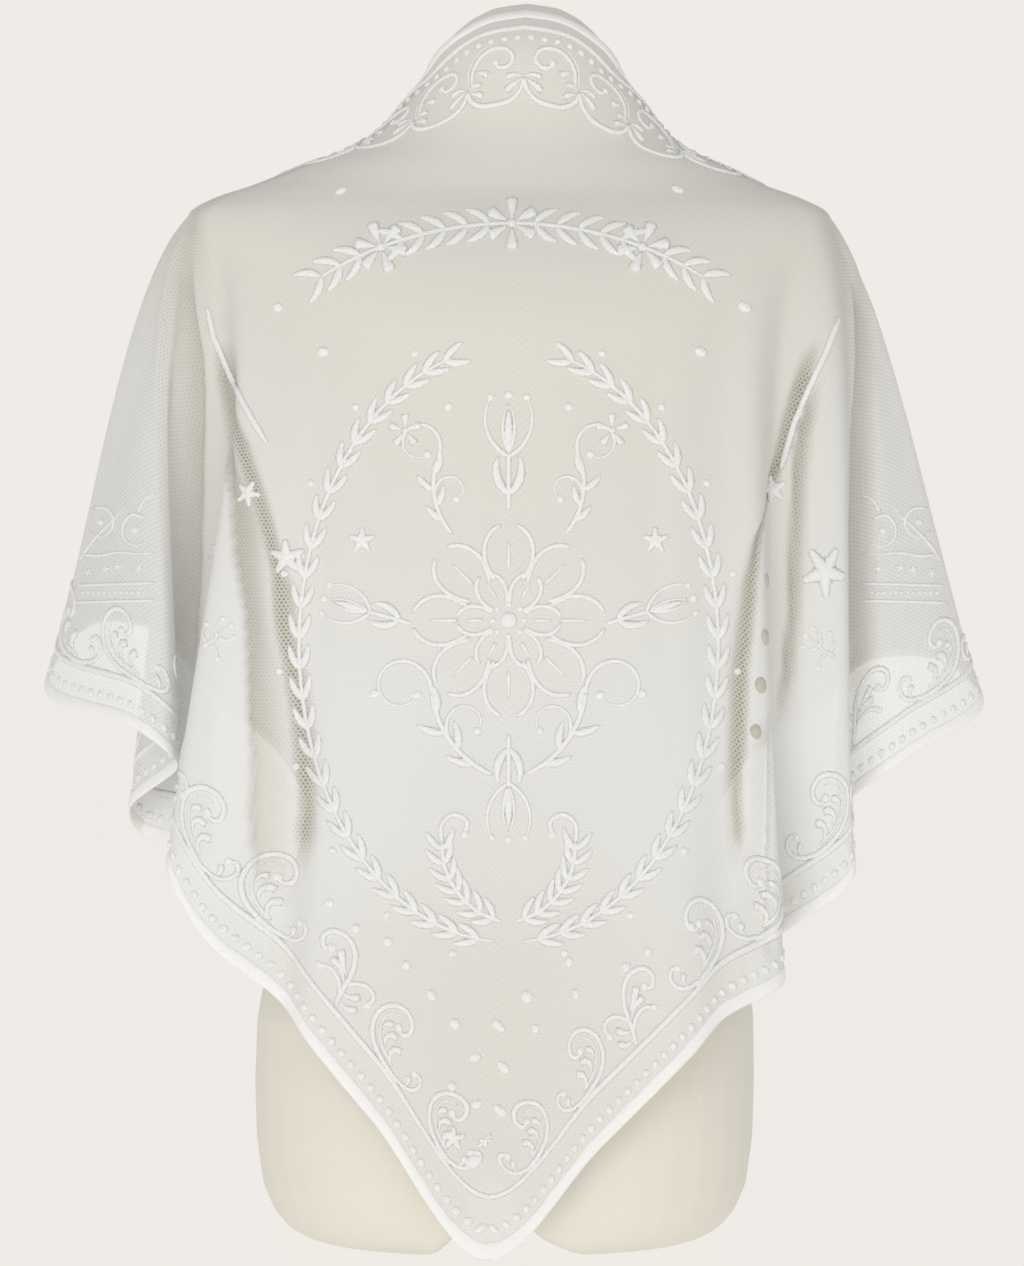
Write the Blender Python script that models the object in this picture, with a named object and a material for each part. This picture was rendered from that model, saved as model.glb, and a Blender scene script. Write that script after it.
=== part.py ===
"""A triangular net mantilla, worn over a smooth limbless dress form and seen best from its back.

Metres, +Z up. The wearer's back faces -Y, so the cloth's point hangs on the -Y side.
The origin is on the floor under the middle of the whole object.
"""

import math
from collections import namedtuple

import bmesh
import bpy
import numpy as np

# The cloth's cut: a flat triangle with its long edge round the neck.
WALL = 0.0012
EDGE_WIDTH = 0.0075
EDGE_THICKNESS = 0.0018
SEAM_GAP = 0.0004
CORD_INSET = 0.027
CORD_WIDTH = 0.0036
CORD_HEIGHT = 0.0012
CORD_GAP = 0.0003
CORD_END = 1
MITRE_GAP = 0.0003

# How far the middle of the cloth lies off the form where it rests on it.
REST_GAP = 0.0016

# How strongly the cloth keeps the form's direction where it leaves it, as a share of the drop.
LEAVING_PULL = 0.62

# Makes a swell's curve, t (1 - t)^2, reach 1 at a third of the way.
SWELL_SHAPE = 6.75

# Grid sizes of the fine surface that every cloth piece is read from, and the points of its
# lines on the form and in free fall before they are evened out.
FINE_PER_FOLD = 12
FINE_ROWS = 140
REST_POINTS = 60
FALL_POINTS = 90

# How often a flat place's line on the fine surface is narrowed down by halves.
FIND_HALVINGS = 34

# The innermost place, as a share of the form's reach, that is still pushed out evenly.
LEAST_REACH = 0.2

# Faces that meet at a wider angle than this, in degrees, keep a sharp edge.
SHARP_ANGLE = 50

# Grid sizes of the solids.
LINES_A_SIDE = 50
LINE_SPACING = 0.030
LINE_TURN = 0.35
PANEL_ROWS = 22
ROW_SPACING = 0.036
ROW_TURN = 0.55
ROW_SMOOTHING = 8
FORM_SIDES = 36

Section = namedtuple("Section", "height half_width back front centre_x fullness ease")

# The surface that the cloth lies on, from the form's foot to its neck. Fullness 1 is an ellipse,
# and less is squarer. The form itself is slimmer by its ease, most where the cloth bridges its
# shoulders.
FORM_SECTIONS = (
    Section(0.000, 0.098, 0.066, 0.064, -0.0056, 0.92, 0.0012),
    Section(0.002, 0.112, 0.076, 0.072, -0.0056, 0.92, 0.0012),
    Section(0.006, 0.125, 0.085, 0.079, -0.0056, 0.92, 0.0012),
    Section(0.012, 0.135, 0.091, 0.084, -0.0056, 0.92, 0.0012),
    Section(0.022, 0.144, 0.097, 0.088, -0.0056, 0.92, 0.0012),
    Section(0.038, 0.151, 0.102, 0.091, -0.0056, 0.92, 0.0012),
    Section(0.068, 0.155, 0.106, 0.093, -0.0056, 0.92, 0.0012),
    Section(0.102, 0.156, 0.108, 0.094, -0.0056, 0.92, 0.0012),
    Section(0.142, 0.155, 0.108, 0.093, -0.0050, 0.92, 0.0012),
    Section(0.190, 0.147, 0.103, 0.091, -0.0035, 0.92, 0.0012),
    Section(0.230, 0.136, 0.094, 0.089, -0.0020, 0.94, 0.0012),
    Section(0.276, 0.128, 0.086, 0.088, -0.0010, 0.95, 0.0012),
    Section(0.322, 0.129, 0.084, 0.091, 0.0000, 0.95, 0.0012),
    Section(0.370, 0.137, 0.089, 0.098, 0.0000, 0.94, 0.0012),
    Section(0.420, 0.147, 0.096, 0.106, 0.0000, 0.93, 0.0012),
    Section(0.470, 0.155, 0.101, 0.108, 0.0000, 0.93, 0.0012),
    Section(0.520, 0.161, 0.103, 0.101, 0.0000, 0.94, 0.0012),
    Section(0.560, 0.172, 0.101, 0.089, 0.0000, 0.95, 0.0012),
    Section(0.594, 0.186, 0.093, 0.074, 0.0000, 0.97, 0.0020),
    Section(0.613, 0.195, 0.085, 0.063, -0.0015, 0.99, 0.0035),
    Section(0.627, 0.199, 0.077, 0.055, -0.0020, 1.00, 0.0050),
    Section(0.637, 0.197, 0.070, 0.049, -0.0030, 1.00, 0.0060),
    Section(0.646, 0.182, 0.063, 0.045, -0.0040, 1.00, 0.0055),
    Section(0.654, 0.159, 0.059, 0.044, -0.0030, 1.00, 0.0040),
    Section(0.664, 0.136, 0.055, 0.044, -0.0010, 1.00, 0.0025),
    Section(0.678, 0.103, 0.050, 0.048, 0.0025, 1.00, 0.0012),
    Section(0.693, 0.084, 0.047, 0.053, 0.0055, 1.00, 0.0012),
    Section(0.708, 0.072, 0.046, 0.057, 0.0062, 1.00, 0.0012),
    Section(0.723, 0.060, 0.046, 0.059, 0.0064, 1.00, 0.0012),
    Section(0.736, 0.055, 0.044, 0.056, 0.0066, 1.00, 0.0012),
    Section(0.748, 0.047, 0.038, 0.048, 0.0070, 1.00, 0.0012),
    Section(0.758, 0.036, 0.029, 0.037, 0.0074, 1.00, 0.0012),
    Section(0.765, 0.023, 0.018, 0.024, 0.0080, 1.00, 0.0012),
)
FORM_TOP = 0.7690

# The cleft between the two rounded feet of the form, and how its mouth flares on each side.
CLEFT_X = -0.014
CLEFT_HEIGHT = 0.050
CLEFT_WIDTH = 0.0145
CLEFT_FLARE_LEFT = 0.020
CLEFT_FLARE_RIGHT = 0.040
CLEFT_ROUNDNESS = 2.4
CLEFT_FLARE_POWER = 7
CLEFT_REACH = 0.16
CLEFT_POINTS = 9
CUTTER_OVERHANG = 0.01

NeckEdge = namedtuple("NeckEdge", "degrees height")

# The height of the long edge round the neck, by the angle from the middle of the back.
NECK_EDGE = (
    NeckEdge(0, 0.7565),
    NeckEdge(30, 0.7540),
    NeckEdge(60, 0.7430),
    NeckEdge(90, 0.7245),
    NeckEdge(118, 0.6990),
)

Fold = namedtuple("Fold", "name neck_deg leave_deg leave_z swell hem_x hem_y hem_z")

# One row for each fold line, from the back's middle to the front border. A line follows the
# form down from the long edge, leaves it at leave_deg and leave_z, and hangs to the hem. Its
# swell is how far it stands out from a plain fall, a third of the way down.
MIDDLE = Fold("point", 0, 0, 0.530, 0.000, -0.0160, -0.1190, 0.0038)
RIGHT_FOLDS = (
    Fold("back_inner", 14, 13, 0.535, 0.000, 0.0514, -0.1210, 0.0711),
    Fold("back_outer", 28, 28, 0.555, 0.000, 0.1070, -0.1180, 0.1268),
    Fold("hollow_a", 38, 40, 0.580, 0.000, 0.1266, -0.1040, 0.1478),
    Fold("edge_a", 48, 51, 0.600, 0.004, 0.1624, -0.0860, 0.1663),
    Fold("under_a", 57, 60, 0.612, 0.000, 0.1536, -0.0440, 0.1847),
    Fold("edge_b", 71, 71, 0.626, 0.004, 0.2069, -0.0520, 0.2285),
    Fold("under_b", 79, 80, 0.631, 0.000, 0.2003, -0.0120, 0.2661),
    Fold("wing_back", 86, 87, 0.635, 0.003, 0.2412, -0.0180, 0.3002),
    Fold("wing_edge", 92, 93, 0.636, 0.000, 0.2916, 0.0060, 0.3332),
    Fold("wing_front", 99, 101, 0.630, 0.002, 0.2640, 0.0480, 0.3620),
    Fold("hollow_c", 104, 110, 0.616, 0.000, 0.2240, 0.0620, 0.3600),
    Fold("edge_c", 108, 119, 0.596, 0.003, 0.1980, 0.1020, 0.3320),
    Fold("hollow_d", 111, 129, 0.572, 0.000, 0.1520, 0.0880, 0.3000),
    Fold("edge_d", 113, 140, 0.550, 0.002, 0.1240, 0.1210, 0.2520),
    Fold("hollow_e", 115, 151, 0.525, 0.000, 0.0880, 0.1080, 0.2000),
    Fold("front_border", 118, 161, 0.505, 0.000, 0.0460, 0.1210, 0.1350),
)
LEFT_FOLDS = (
    Fold("back_inner", -15, -14, 0.535, 0.000, -0.0826, -0.1210, 0.0854),
    Fold("back_outer", -28, -28, 0.555, 0.000, -0.1238, -0.1180, 0.1352),
    Fold("hollow_a", -37, -38, 0.580, 0.000, -0.1401, -0.1020, 0.1573),
    Fold("band_a", -46, -48, 0.596, 0.002, -0.1847, -0.1080, 0.1948),
    Fold("edge_a", -56, -59, 0.612, 0.003, -0.2083, -0.0980, 0.2374),
    Fold("under_a", -62, -66, 0.619, 0.000, -0.1860, -0.0300, 0.2440),
    Fold("crest_b", -68, -71, 0.624, 0.000, -0.2310, 0.0180, 0.2520),
    Fold("edge_b", -73, -76, 0.628, 0.003, -0.2378, -0.0060, 0.2690),
    Fold("under_b", -77, -80, 0.630, 0.010, -0.2052, -0.0500, 0.2960),
    Fold("hollow_b", -81, -83, 0.633, 0.013, -0.2090, -0.0680, 0.3050),
    Fold("wing_back", -86, -87, 0.635, 0.012, -0.2294, -0.0640, 0.3200),
    Fold("wing_edge", -92, -93, 0.637, 0.002, -0.2911, 0.0060, 0.3431),
    Fold("wing_front", -99, -101, 0.630, 0.004, -0.2640, 0.0480, 0.3840),
    Fold("hollow_c", -104, -110, 0.616, 0.000, -0.2240, 0.0620, 0.3780),
    Fold("edge_c", -108, -119, 0.596, 0.003, -0.1980, 0.1020, 0.3400),
    Fold("hollow_d", -111, -129, 0.572, 0.000, -0.1520, 0.0880, 0.3040),
    Fold("edge_d", -113, -140, 0.550, 0.002, -0.1240, 0.1210, 0.2540),
    Fold("hollow_e", -115, -151, 0.525, 0.000, -0.0880, 0.1080, 0.2020),
    Fold("front_border", -118, -161, 0.505, 0.000, -0.0400, 0.1210, 0.1380),
)

MATERIALS = {
    "net": ((0.83, 0.83, 0.81), 0.85, 0.0),
    "edging": ((0.90, 0.90, 0.89), 0.80, 0.0),
    "form": ((0.78, 0.77, 0.70), 0.45, 0.0),
}


def smooth_read(at, known, values):
    """Values between a table's rows, on a curve that never swings past its rows."""
    known = np.asarray(known, float)
    values = np.asarray(values, float)
    at = np.clip(np.asarray(at, float), known[0], known[-1])
    steps = np.diff(known)
    slopes = np.diff(values) / steps
    tangents = np.zeros(len(known))
    same_way = slopes[:-1] * slopes[1:] > 0
    weight_a = 2 * steps[1:] + steps[:-1]
    weight_b = steps[1:] + 2 * steps[:-1]
    safe_a = np.where(same_way, slopes[:-1], 1.0)
    safe_b = np.where(same_way, slopes[1:], 1.0)
    mean = (weight_a + weight_b) / (weight_a / safe_a + weight_b / safe_b)
    tangents[1:-1] = np.where(same_way, mean, 0.0)
    tangents[0] = slopes[0]
    tangents[-1] = slopes[-1]
    return hermite(at, known, values, tangents)


def round_read(at, known, values):
    """Values between a table's rows, on a rounded curve through them."""
    known = np.asarray(known, float)
    values = np.asarray(values, float)
    steps = np.diff(known)
    slopes = np.diff(values) / steps
    tangents = np.empty(len(known))
    share = steps[1:] / (steps[:-1] + steps[1:])
    tangents[1:-1] = slopes[:-1] * share + slopes[1:] * (1 - share)
    tangents[0] = slopes[0]
    tangents[-1] = slopes[-1]
    return hermite(np.clip(at, known[0], known[-1]), known, values, tangents)


def hermite(at, known, values, tangents):
    """The cubic curve with the given values and tangents at the known places."""
    left = np.clip(np.searchsorted(known, at, side="right") - 1, 0, len(known) - 2)
    width = known[left + 1] - known[left]
    t = (at - known[left]) / width
    return (
        (1 + 2 * t) * (1 - t) ** 2 * values[left]
        + t * (1 - t) ** 2 * width * tangents[left]
        + t * t * (3 - 2 * t) * values[left + 1]
        + t * t * (t - 1) * width * tangents[left + 1]
    )


def form_measure(field, height):
    """One column of the form's sections at any height."""
    heights = [row.height for row in FORM_SECTIONS]
    return smooth_read(height, heights, [getattr(row, field) for row in FORM_SECTIONS])


def signed_power(value, power):
    """A power that keeps the sign, which makes an ellipse squarer."""
    return np.sign(value) * np.abs(value) ** power


def form_point(degrees, height, grow=0.0):
    """A point of the form's side, by the angle from the middle of the back and the height."""
    angle = np.radians(degrees)
    power = form_measure("fullness", height)
    across = form_measure("half_width", height) + grow
    back = form_measure("back", height) + grow
    front = form_measure("front", height) + grow
    depth = np.where(np.cos(angle) > 0, back, front)
    x = form_measure("centre_x", height) + across * signed_power(np.sin(angle), power)
    y = -depth * signed_power(np.cos(angle), power)
    return np.stack(np.broadcast_arrays(x, y, height), axis=-1)


def form_normal(degrees, height):
    """The outward direction of the form's side there."""
    turn = 1.0
    rise = 0.002
    along = form_point(degrees + turn, height) - form_point(degrees - turn, height)
    up = form_point(degrees, height + rise) - form_point(degrees, height - rise)
    normal = np.cross(along, up)
    return normal / np.linalg.norm(normal, axis=-1, keepdims=True)


def clear_of_form(points, gap):
    """The points again, pushed straight out from the form's middle where they come too near it."""
    x, y, z = np.moveaxis(points, -1, 0)
    power = 2 / form_measure("fullness", z)
    across = form_measure("half_width", z) + gap
    back = form_measure("back", z) + gap
    front = form_measure("front", z) + gap
    dx = x - form_measure("centre_x", z)
    depth = np.where(y < 0, back, front)
    reach = (np.abs(dx / across) ** power + np.abs(y / depth) ** power) ** (1 / power)
    too_near = (reach < 1) & (z < FORM_SECTIONS[-1].height)
    push = np.where(too_near, 1 / np.maximum(reach, LEAST_REACH), 1.0)
    return np.stack([x + dx * (push - 1), y * push, z], axis=-1)


def fold_lines():
    """Every fold line in order, from the left front border to the right one."""
    return LEFT_FOLDS[::-1] + (MIDDLE,) + RIGHT_FOLDS


class Drape:
    """The worn cloth's middle surface, and where each point of the flat cut lies on it."""

    def __init__(self):
        folds = fold_lines()
        hems = np.array([(f.hem_x, f.hem_y, f.hem_z) for f in folds])
        chords = np.linalg.norm(np.diff(hems, axis=0), axis=1)
        self.places = np.concatenate([[0.0], np.cumsum(np.sqrt(chords))])
        self.middle_place = self.places[len(LEFT_FOLDS)]
        count = (len(folds) - 1) * FINE_PER_FOLD + 1
        index = np.linspace(0, len(folds) - 1, count)
        self.fine_places = np.interp(index, range(len(folds)), self.places)
        self.grid = np.array([self.hang(folds, place) for place in self.fine_places])
        self.measure_cut()
        self.normals = self.find_normals()

    def hang(self, folds, place):
        """One line of the cloth from its long edge to its hem, as evenly spaced points."""
        neck, leave, leave_z, swell = (
            smooth_read(place, self.places, [getattr(f, name) for f in folds])
            for name in ("neck_deg", "leave_deg", "leave_z", "swell")
        )
        hem = np.array(
            [
                round_read(place, self.places, [getattr(f, name) for f in folds])
                for name in ("hem_x", "hem_y", "hem_z")
            ]
        )
        top = smooth_read(abs(neck), [r.degrees for r in NECK_EDGE], [r.height for r in NECK_EDGE])
        share = np.linspace(0, 1, REST_POINTS)
        heights = top + (leave_z - top) * share
        degrees = neck + (leave - neck) * share
        rest = form_point(degrees, heights) + REST_GAP * form_normal(degrees, heights)
        start = rest[-1]
        drop = hem - start
        heading = rest[-1] - rest[-3]
        out = form_normal(leave, leave_z)
        heading *= LEAVING_PULL * np.linalg.norm(drop) / np.linalg.norm(heading)
        t = np.linspace(0, 1, FALL_POINTS)[1:, None]
        fall = (
            (1 + 2 * t) * (1 - t) ** 2 * start
            + t * (1 - t) ** 2 * heading
            + t * t * (3 - 2 * t) * hem
            + t * t * (t - 1) * drop
            + SWELL_SHAPE * t * (1 - t) ** 2 * swell * out
        )
        line = np.concatenate([rest, clear_of_form(fall, REST_GAP)])
        along = np.concatenate([[0], np.cumsum(np.linalg.norm(np.diff(line, axis=0), axis=1))])
        even = np.linspace(0, along[-1], FINE_ROWS + 1)
        return np.stack([np.interp(even, along, line[:, k]) for k in range(3)], axis=1)

    def measure_cut(self):
        """The flat triangle, from the lengths of the worn hem, long edge and middle line."""
        middle = int(np.argmin(np.abs(self.fine_places - self.middle_place)))
        steps = np.linalg.norm(np.diff(self.grid, axis=1), axis=2)
        lengths = steps.sum(axis=1)
        self.drop = lengths[middle]
        top = self.along(self.grid[:, 0], middle)
        hem = self.along(self.grid[:, -1], middle)
        self.half_width = (lengths[0] - top[0] + lengths[-1] + top[-1]) / 2
        self.top_places = top
        self.hem_shares = np.where(hem < 0, hem / -hem[0], hem / hem[-1])

    @staticmethod
    def along(line, middle):
        """The distance along a line of points, from its middle one."""
        steps = np.linalg.norm(np.diff(line, axis=0), axis=1)
        total = np.concatenate([[0], np.cumsum(steps)])
        return total - total[middle]

    def find_normals(self):
        """The outward direction at each point of the fine surface."""
        across = np.gradient(self.grid, axis=0)
        down = np.gradient(self.grid, axis=1)
        normal = np.cross(down, across)
        return normal / np.linalg.norm(normal, axis=2, keepdims=True)

    def flat_ends(self, column):
        """The flat places of a line's two ends, by its number on the fine surface."""
        numbers = np.arange(len(self.fine_places))
        top = np.interp(column, numbers, self.top_places)
        share = np.interp(column, numbers, self.hem_shares)
        start = np.stack([top, np.zeros_like(top)], axis=-1)
        end = np.stack([self.half_width * share, -self.drop * (1 - np.abs(share))], axis=-1)
        return start, end

    def find(self, flat):
        """The fine surface's column and row, as numbers with fractions, of flat places."""
        low = np.zeros(len(flat))
        high = np.full(len(flat), len(self.fine_places) - 1.0)
        for _ in range(FIND_HALVINGS):
            column = (low + high) / 2
            start, end = self.flat_ends(column)
            way, to = end - start, flat - start
            right_of = way[:, 0] * to[:, 1] - way[:, 1] * to[:, 0] > 0
            low = np.where(right_of, column, low)
            high = np.where(right_of, high, column)
        start, end = self.flat_ends(column)
        way = end - start
        row = ((flat - start) * way).sum(axis=1) / (way * way).sum(axis=1)
        return column, np.clip(row, 0, 1) * FINE_ROWS

    def read(self, table, column, row):
        """A value of the fine surface between its points."""
        i = np.clip(column.astype(int), 0, table.shape[0] - 2)
        j = np.clip(row.astype(int), 0, table.shape[1] - 2)
        a, b = (column - i)[:, None], (row - j)[:, None]
        return (
            table[i, j] * (1 - a) * (1 - b)
            + table[i + 1, j] * a * (1 - b)
            + table[i, j + 1] * (1 - a) * b
            + table[i + 1, j + 1] * a * b
        )

    def place(self, flat, lift=0.0):
        """Where flat places of the cut lie on the worn cloth, moved out along its normal."""
        column, row = self.find(np.asarray(flat, float))
        normal = self.read(self.normals, column, row)
        normal /= np.linalg.norm(normal, axis=1, keepdims=True)
        return self.read(self.grid, column, row) + normal * np.reshape(lift, (-1, 1))

    def hem_distance(self, flat):
        """How far flat places lie inside the nearer short edge."""
        length = math.hypot(self.half_width, self.drop)
        reach = (self.half_width - np.abs(flat[:, 0])) * self.drop + flat[:, 1] * self.half_width
        return reach / length

    def inset_corners(self, inset):
        """The flat triangle's left, right and lowest corners, moved in from all three edges."""
        length = math.hypot(self.half_width, self.drop)
        sine, cosine = self.drop / length, self.half_width / length
        reach = self.half_width - inset * (1 + cosine) / sine
        return (
            np.array([-reach, -inset]),
            np.array([reach, -inset]),
            np.array([0.0, -self.drop + inset / cosine]),
        )


def material(name):
    """A plain finish with the cloth's or form's colour."""
    colour, roughness, metallic = MATERIALS[name]
    made = bpy.data.materials.get(name)
    if made is None:
        made = bpy.data.materials.new(name)
        made.use_nodes = True
        shader = made.node_tree.nodes["Principled BSDF"]
        shader.inputs["Base Color"].default_value = (*colour, 1)
        shader.inputs["Roughness"].default_value = roughness
        shader.inputs["Metallic"].default_value = metallic
    return made


def add_object(name, mesh_data, finish, collection):
    """A named object with its finish, shaded smooth but for its sharp rims."""
    mesh = bpy.data.meshes.new(name)
    mesh_data.to_mesh(mesh)
    mesh_data.free()
    mesh.materials.append(material(finish))
    mesh.shade_smooth()
    mesh.set_sharp_from_angle(angle=math.radians(SHARP_ANGLE))
    made = bpy.data.objects.new(name, mesh)
    collection.objects.link(made)
    return made


def face_sums(points):
    """The sum of the outward face directions round each point of a grid, weighted by area."""
    sums = np.zeros_like(points)
    corner, below = points[:-1, :-1], points[:-1, 1:]
    across, beyond = points[1:, 1:], points[1:, :-1]
    first = np.cross(below - corner, across - corner)
    second = np.cross(across - corner, beyond - corner)
    sums[:-1, :-1] += first + second
    sums[:-1, 1:] += first
    sums[1:, 1:] += first + second
    sums[1:, :-1] += second
    return sums


def wall(points, sums, outer, inner):
    """A closed wall over a grid of points, between two distances along their outward directions."""
    columns, rows = points.shape[:2]
    normals = sums / np.linalg.norm(sums, axis=2, keepdims=True)
    made = bmesh.new()
    sides = []
    for lift in (outer, inner):
        verts = [made.verts.new(p) for p in (points + normals * lift).reshape(-1, 3)]
        sides.append(np.array(verts, dtype=object).reshape(columns, rows))
    front, back = sides
    for i in range(columns - 1):
        for j in range(rows - 1):
            for side in sides:
                made.faces.new((side[i, j], side[i, j + 1], side[i + 1, j + 1], side[i + 1, j]))
    rim = rim_of(columns, rows)
    for here, after in zip(rim, rim[1:] + rim[:1]):
        face = (front[here], front[after], back[after], back[here])
        # A hem's band runs the other way round its rim, so the panel's split is turned to match.
        on_hem = here[1] == rows - 1 == after[1]
        made.faces.new(face[1:] + face[:1] if on_hem else face)
    bmesh.ops.triangulate(made, faces=made.faces[:], quad_method="FIXED")
    bmesh.ops.recalc_face_normals(made, faces=made.faces[:])
    return made


def rim_of(columns, rows):
    """The grid places round a grid's rim, in order."""
    rim = [(i, 0) for i in range(columns - 1)]
    rim += [(columns - 1, j) for j in range(rows - 1)]
    rim += [(i, rows - 1) for i in range(columns - 1, 0, -1)]
    return rim + [(0, j) for j in range(rows - 1, 0, -1)]


def crowd(line, count, spacing, turn):
    """Numbers of evenly needed points along a line, which lie closer where it turns."""
    steps = np.diff(line, axis=0)
    lengths = np.linalg.norm(steps, axis=1)
    headings = steps / lengths[:, None]
    turns = np.arccos(np.clip((headings[1:] * headings[:-1]).sum(axis=1), -1, 1))
    need = lengths / spacing
    need[1:] += turns / turn
    passed = np.concatenate([[0], np.cumsum(need)])
    return np.interp(np.linspace(0, passed[-1], count), passed, np.arange(len(passed)))


def line_numbers(drape):
    """Which lines of the fine surface the solids are built on."""
    hem = drape.grid[:, -1]
    middle = len(LEFT_FOLDS) * FINE_PER_FOLD
    left = crowd(hem[: middle + 1], LINES_A_SIDE + 1, LINE_SPACING, LINE_TURN)
    right = crowd(hem[middle:], LINES_A_SIDE + 1, LINE_SPACING, LINE_TURN)
    return np.concatenate([left, middle + right[1:]])


def row_shares(drape, numbers):
    """How far down each line its points lie, by line and row, even from one line to the next."""
    lines = drape.grid[np.rint(numbers).astype(int)]
    shares = np.array([crowd(line, PANEL_ROWS, ROW_SPACING, ROW_TURN) for line in lines]) / FINE_ROWS
    for _ in range(ROW_SMOOTHING):
        shares[1:-1] = (shares[:-2] + 2 * shares[1:-1] + shares[2:]) / 4
    return shares


def flat_grid(drape, inset):
    """Flat places of the panel's points, by line and row, in a triangle inset from the edges."""
    numbers = line_numbers(drape)
    tops, _ = drape.flat_ends(numbers)
    left, right, point = drape.inset_corners(inset)
    tops *= right[0] / drape.half_width
    tops[:, 1] = -inset
    share = np.interp(numbers, np.arange(len(drape.hem_shares)), drape.hem_shares)[:, None]
    hems = point + np.where(share < 0, left - point, right - point) * np.abs(share)
    from_hem = drape.hem_distance(tops)
    far, near = CORD_INSET + CORD_WIDTH / 2, CORD_INSET - CORD_WIDTH / 2
    cord_far = (from_hem - far) / (from_hem - inset)
    cord_near = (from_hem - near) / (from_hem - inset)
    upper = row_shares(drape, numbers)
    down = np.column_stack([cord_far[:, None] * upper, cord_near, np.ones(len(numbers))])[:, :, None]
    return tops[:, None] * (1 - down) + hems[:, None] * down


def pull_ends(line):
    """The line again with each end drawn back, so that two bands don't touch at a corner."""
    line = line.copy()
    for end, inner in ((0, 1), (-1, -2)):
        way = line[inner] - line[end]
        line[end] += way * MITRE_GAP / np.linalg.norm(way)
    return line


def panel_seams(drape):
    """Each edging's name, the panel places along its seam, and its seam and outer flat lines."""
    flat = flat_grid(drape, EDGE_WIDTH)
    edge = flat_grid(drape, 0.0)
    columns, rows = flat.shape[:2]
    tip = LINES_A_SIDE
    long_seam = [(0, j) for j in range(rows - 1, 0, -1)] + [(i, 0) for i in range(columns - 1)]
    long_seam += [(columns - 1, j) for j in range(rows)]
    seams = {
        "edging_long": long_seam,
        "edging_left": [(i, rows - 1) for i in range(tip + 1)],
        "edging_right": [(i, rows - 1) for i in range(tip, columns)],
    }
    for name, seam in seams.items():
        places = tuple(np.array(seam).T)
        yield name, places, pull_ends(flat[places]), pull_ends(edge[places])


def cloth_pieces(drape, collection):
    """The net panel, its three edgings and the raised cord, which share their seams' directions."""
    flat = flat_grid(drape, EDGE_WIDTH + SEAM_GAP)
    panel = drape.place(flat.reshape(-1, 2)).reshape(*flat.shape[:2], 3)
    sums = face_sums(panel)
    bands = []
    for name, places, seam, edge in panel_seams(drape):
        lines = (edge, seam) if name == "edging_long" else (seam, edge)
        band = np.stack([drape.place(line) for line in lines], axis=1)
        band_sums = face_sums(band)
        seam_side = 1 if name == "edging_long" else 0
        sums[places] += band_sums[:, seam_side]
        bands.append((name, band, band_sums, seam_side, places))
    for name, band, band_sums, seam_side, places in bands:
        band_sums[:, seam_side] = sums[places]
        half = EDGE_THICKNESS / 2
        add_object(name, wall(band, band_sums, half, -half), "edging", collection)
    add_object("net_panel", wall(panel, sums, WALL / 2, -WALL / 2), "net", collection)
    # The cord lies on the panel's two rows before the hem's, which flat_grid sets for it.
    on_cord = (slice(CORD_END, -CORD_END), slice(-3, -1))
    base = WALL / 2 + CORD_GAP
    cord = wall(panel[on_cord], sums[on_cord], base + CORD_HEIGHT, base)
    add_object("border_cord", cord, "edging", collection)


def form_rings(made):
    """The dress form's side as rings of points, one for each section."""
    degrees = np.linspace(0, 360, FORM_SIDES, endpoint=False)
    rings = []
    for row in FORM_SECTIONS:
        points = form_point(degrees, np.full(FORM_SIDES, row.height), -row.ease)
        rings.append([made.verts.new(p) for p in points])
    return rings


def dress_form(collection, cutters):
    """The smooth form: lofted rings, a domed top, a flat foot and a cleft between its two feet."""
    made = bmesh.new()
    rings = form_rings(made)
    for lower, upper in zip(rings, rings[1:]):
        for k in range(FORM_SIDES):
            after = (k + 1) % FORM_SIDES
            made.faces.new((lower[k], lower[after], upper[after], upper[k]))
    crown = made.verts.new((FORM_SECTIONS[-1].centre_x, 0.0, FORM_TOP))
    for k in range(FORM_SIDES):
        made.faces.new((rings[-1][k], rings[-1][(k + 1) % FORM_SIDES], crown))
    made.faces.new(rings[0][::-1])
    bmesh.ops.recalc_face_normals(made, faces=made.faces[:])
    form = add_object("dress_form", made, "form", collection)
    cut = form.modifiers.new("cleft", "BOOLEAN")
    cut.operation = "DIFFERENCE"
    cut.solver = "EXACT"
    cut.object = cleft_cutter(cutters)
    return form


def cleft_cutter(cutters):
    """An arch that runs from front to back between the two feet, flaring to their rounded soles."""
    share = np.linspace(-1, 1, 2 * CLEFT_POINTS + 1)
    height = CLEFT_HEIGHT * (1 - np.abs(share) ** CLEFT_ROUNDNESS)
    widen = np.where(share < 0, CLEFT_FLARE_LEFT, CLEFT_FLARE_RIGHT)
    reach = CLEFT_WIDTH * np.sin(np.abs(share) * math.pi / 2)
    reach += widen * np.abs(share) ** CLEFT_FLARE_POWER
    made = bmesh.new()
    ends = []
    arch = [(CLEFT_X + math.copysign(r, s), z) for r, s, z in zip(reach, share, height)]
    arch += [(CLEFT_X + math.copysign(reach[-1], side), -CUTTER_OVERHANG) for side in (1, -1)]
    for y in (-CLEFT_REACH, CLEFT_REACH):
        ends.append([made.verts.new((x, y, z)) for x, z in arch])
    back, front = ends
    count = len(back)
    for k in range(count):
        made.faces.new((back[k], back[(k + 1) % count], front[(k + 1) % count], front[k]))
    made.faces.new(back)
    made.faces.new(front[::-1])
    bmesh.ops.recalc_face_normals(made, faces=made.faces[:])
    cutter = add_object("cleft_cutter", made, "form", cutters)
    cutter.hide_render = True
    cutter.display_type = "WIRE"
    return cutter


def new_collection(name):
    """An empty collection in the scene."""
    made = bpy.data.collections.new(name)
    bpy.context.scene.collection.children.link(made)
    return made


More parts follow.
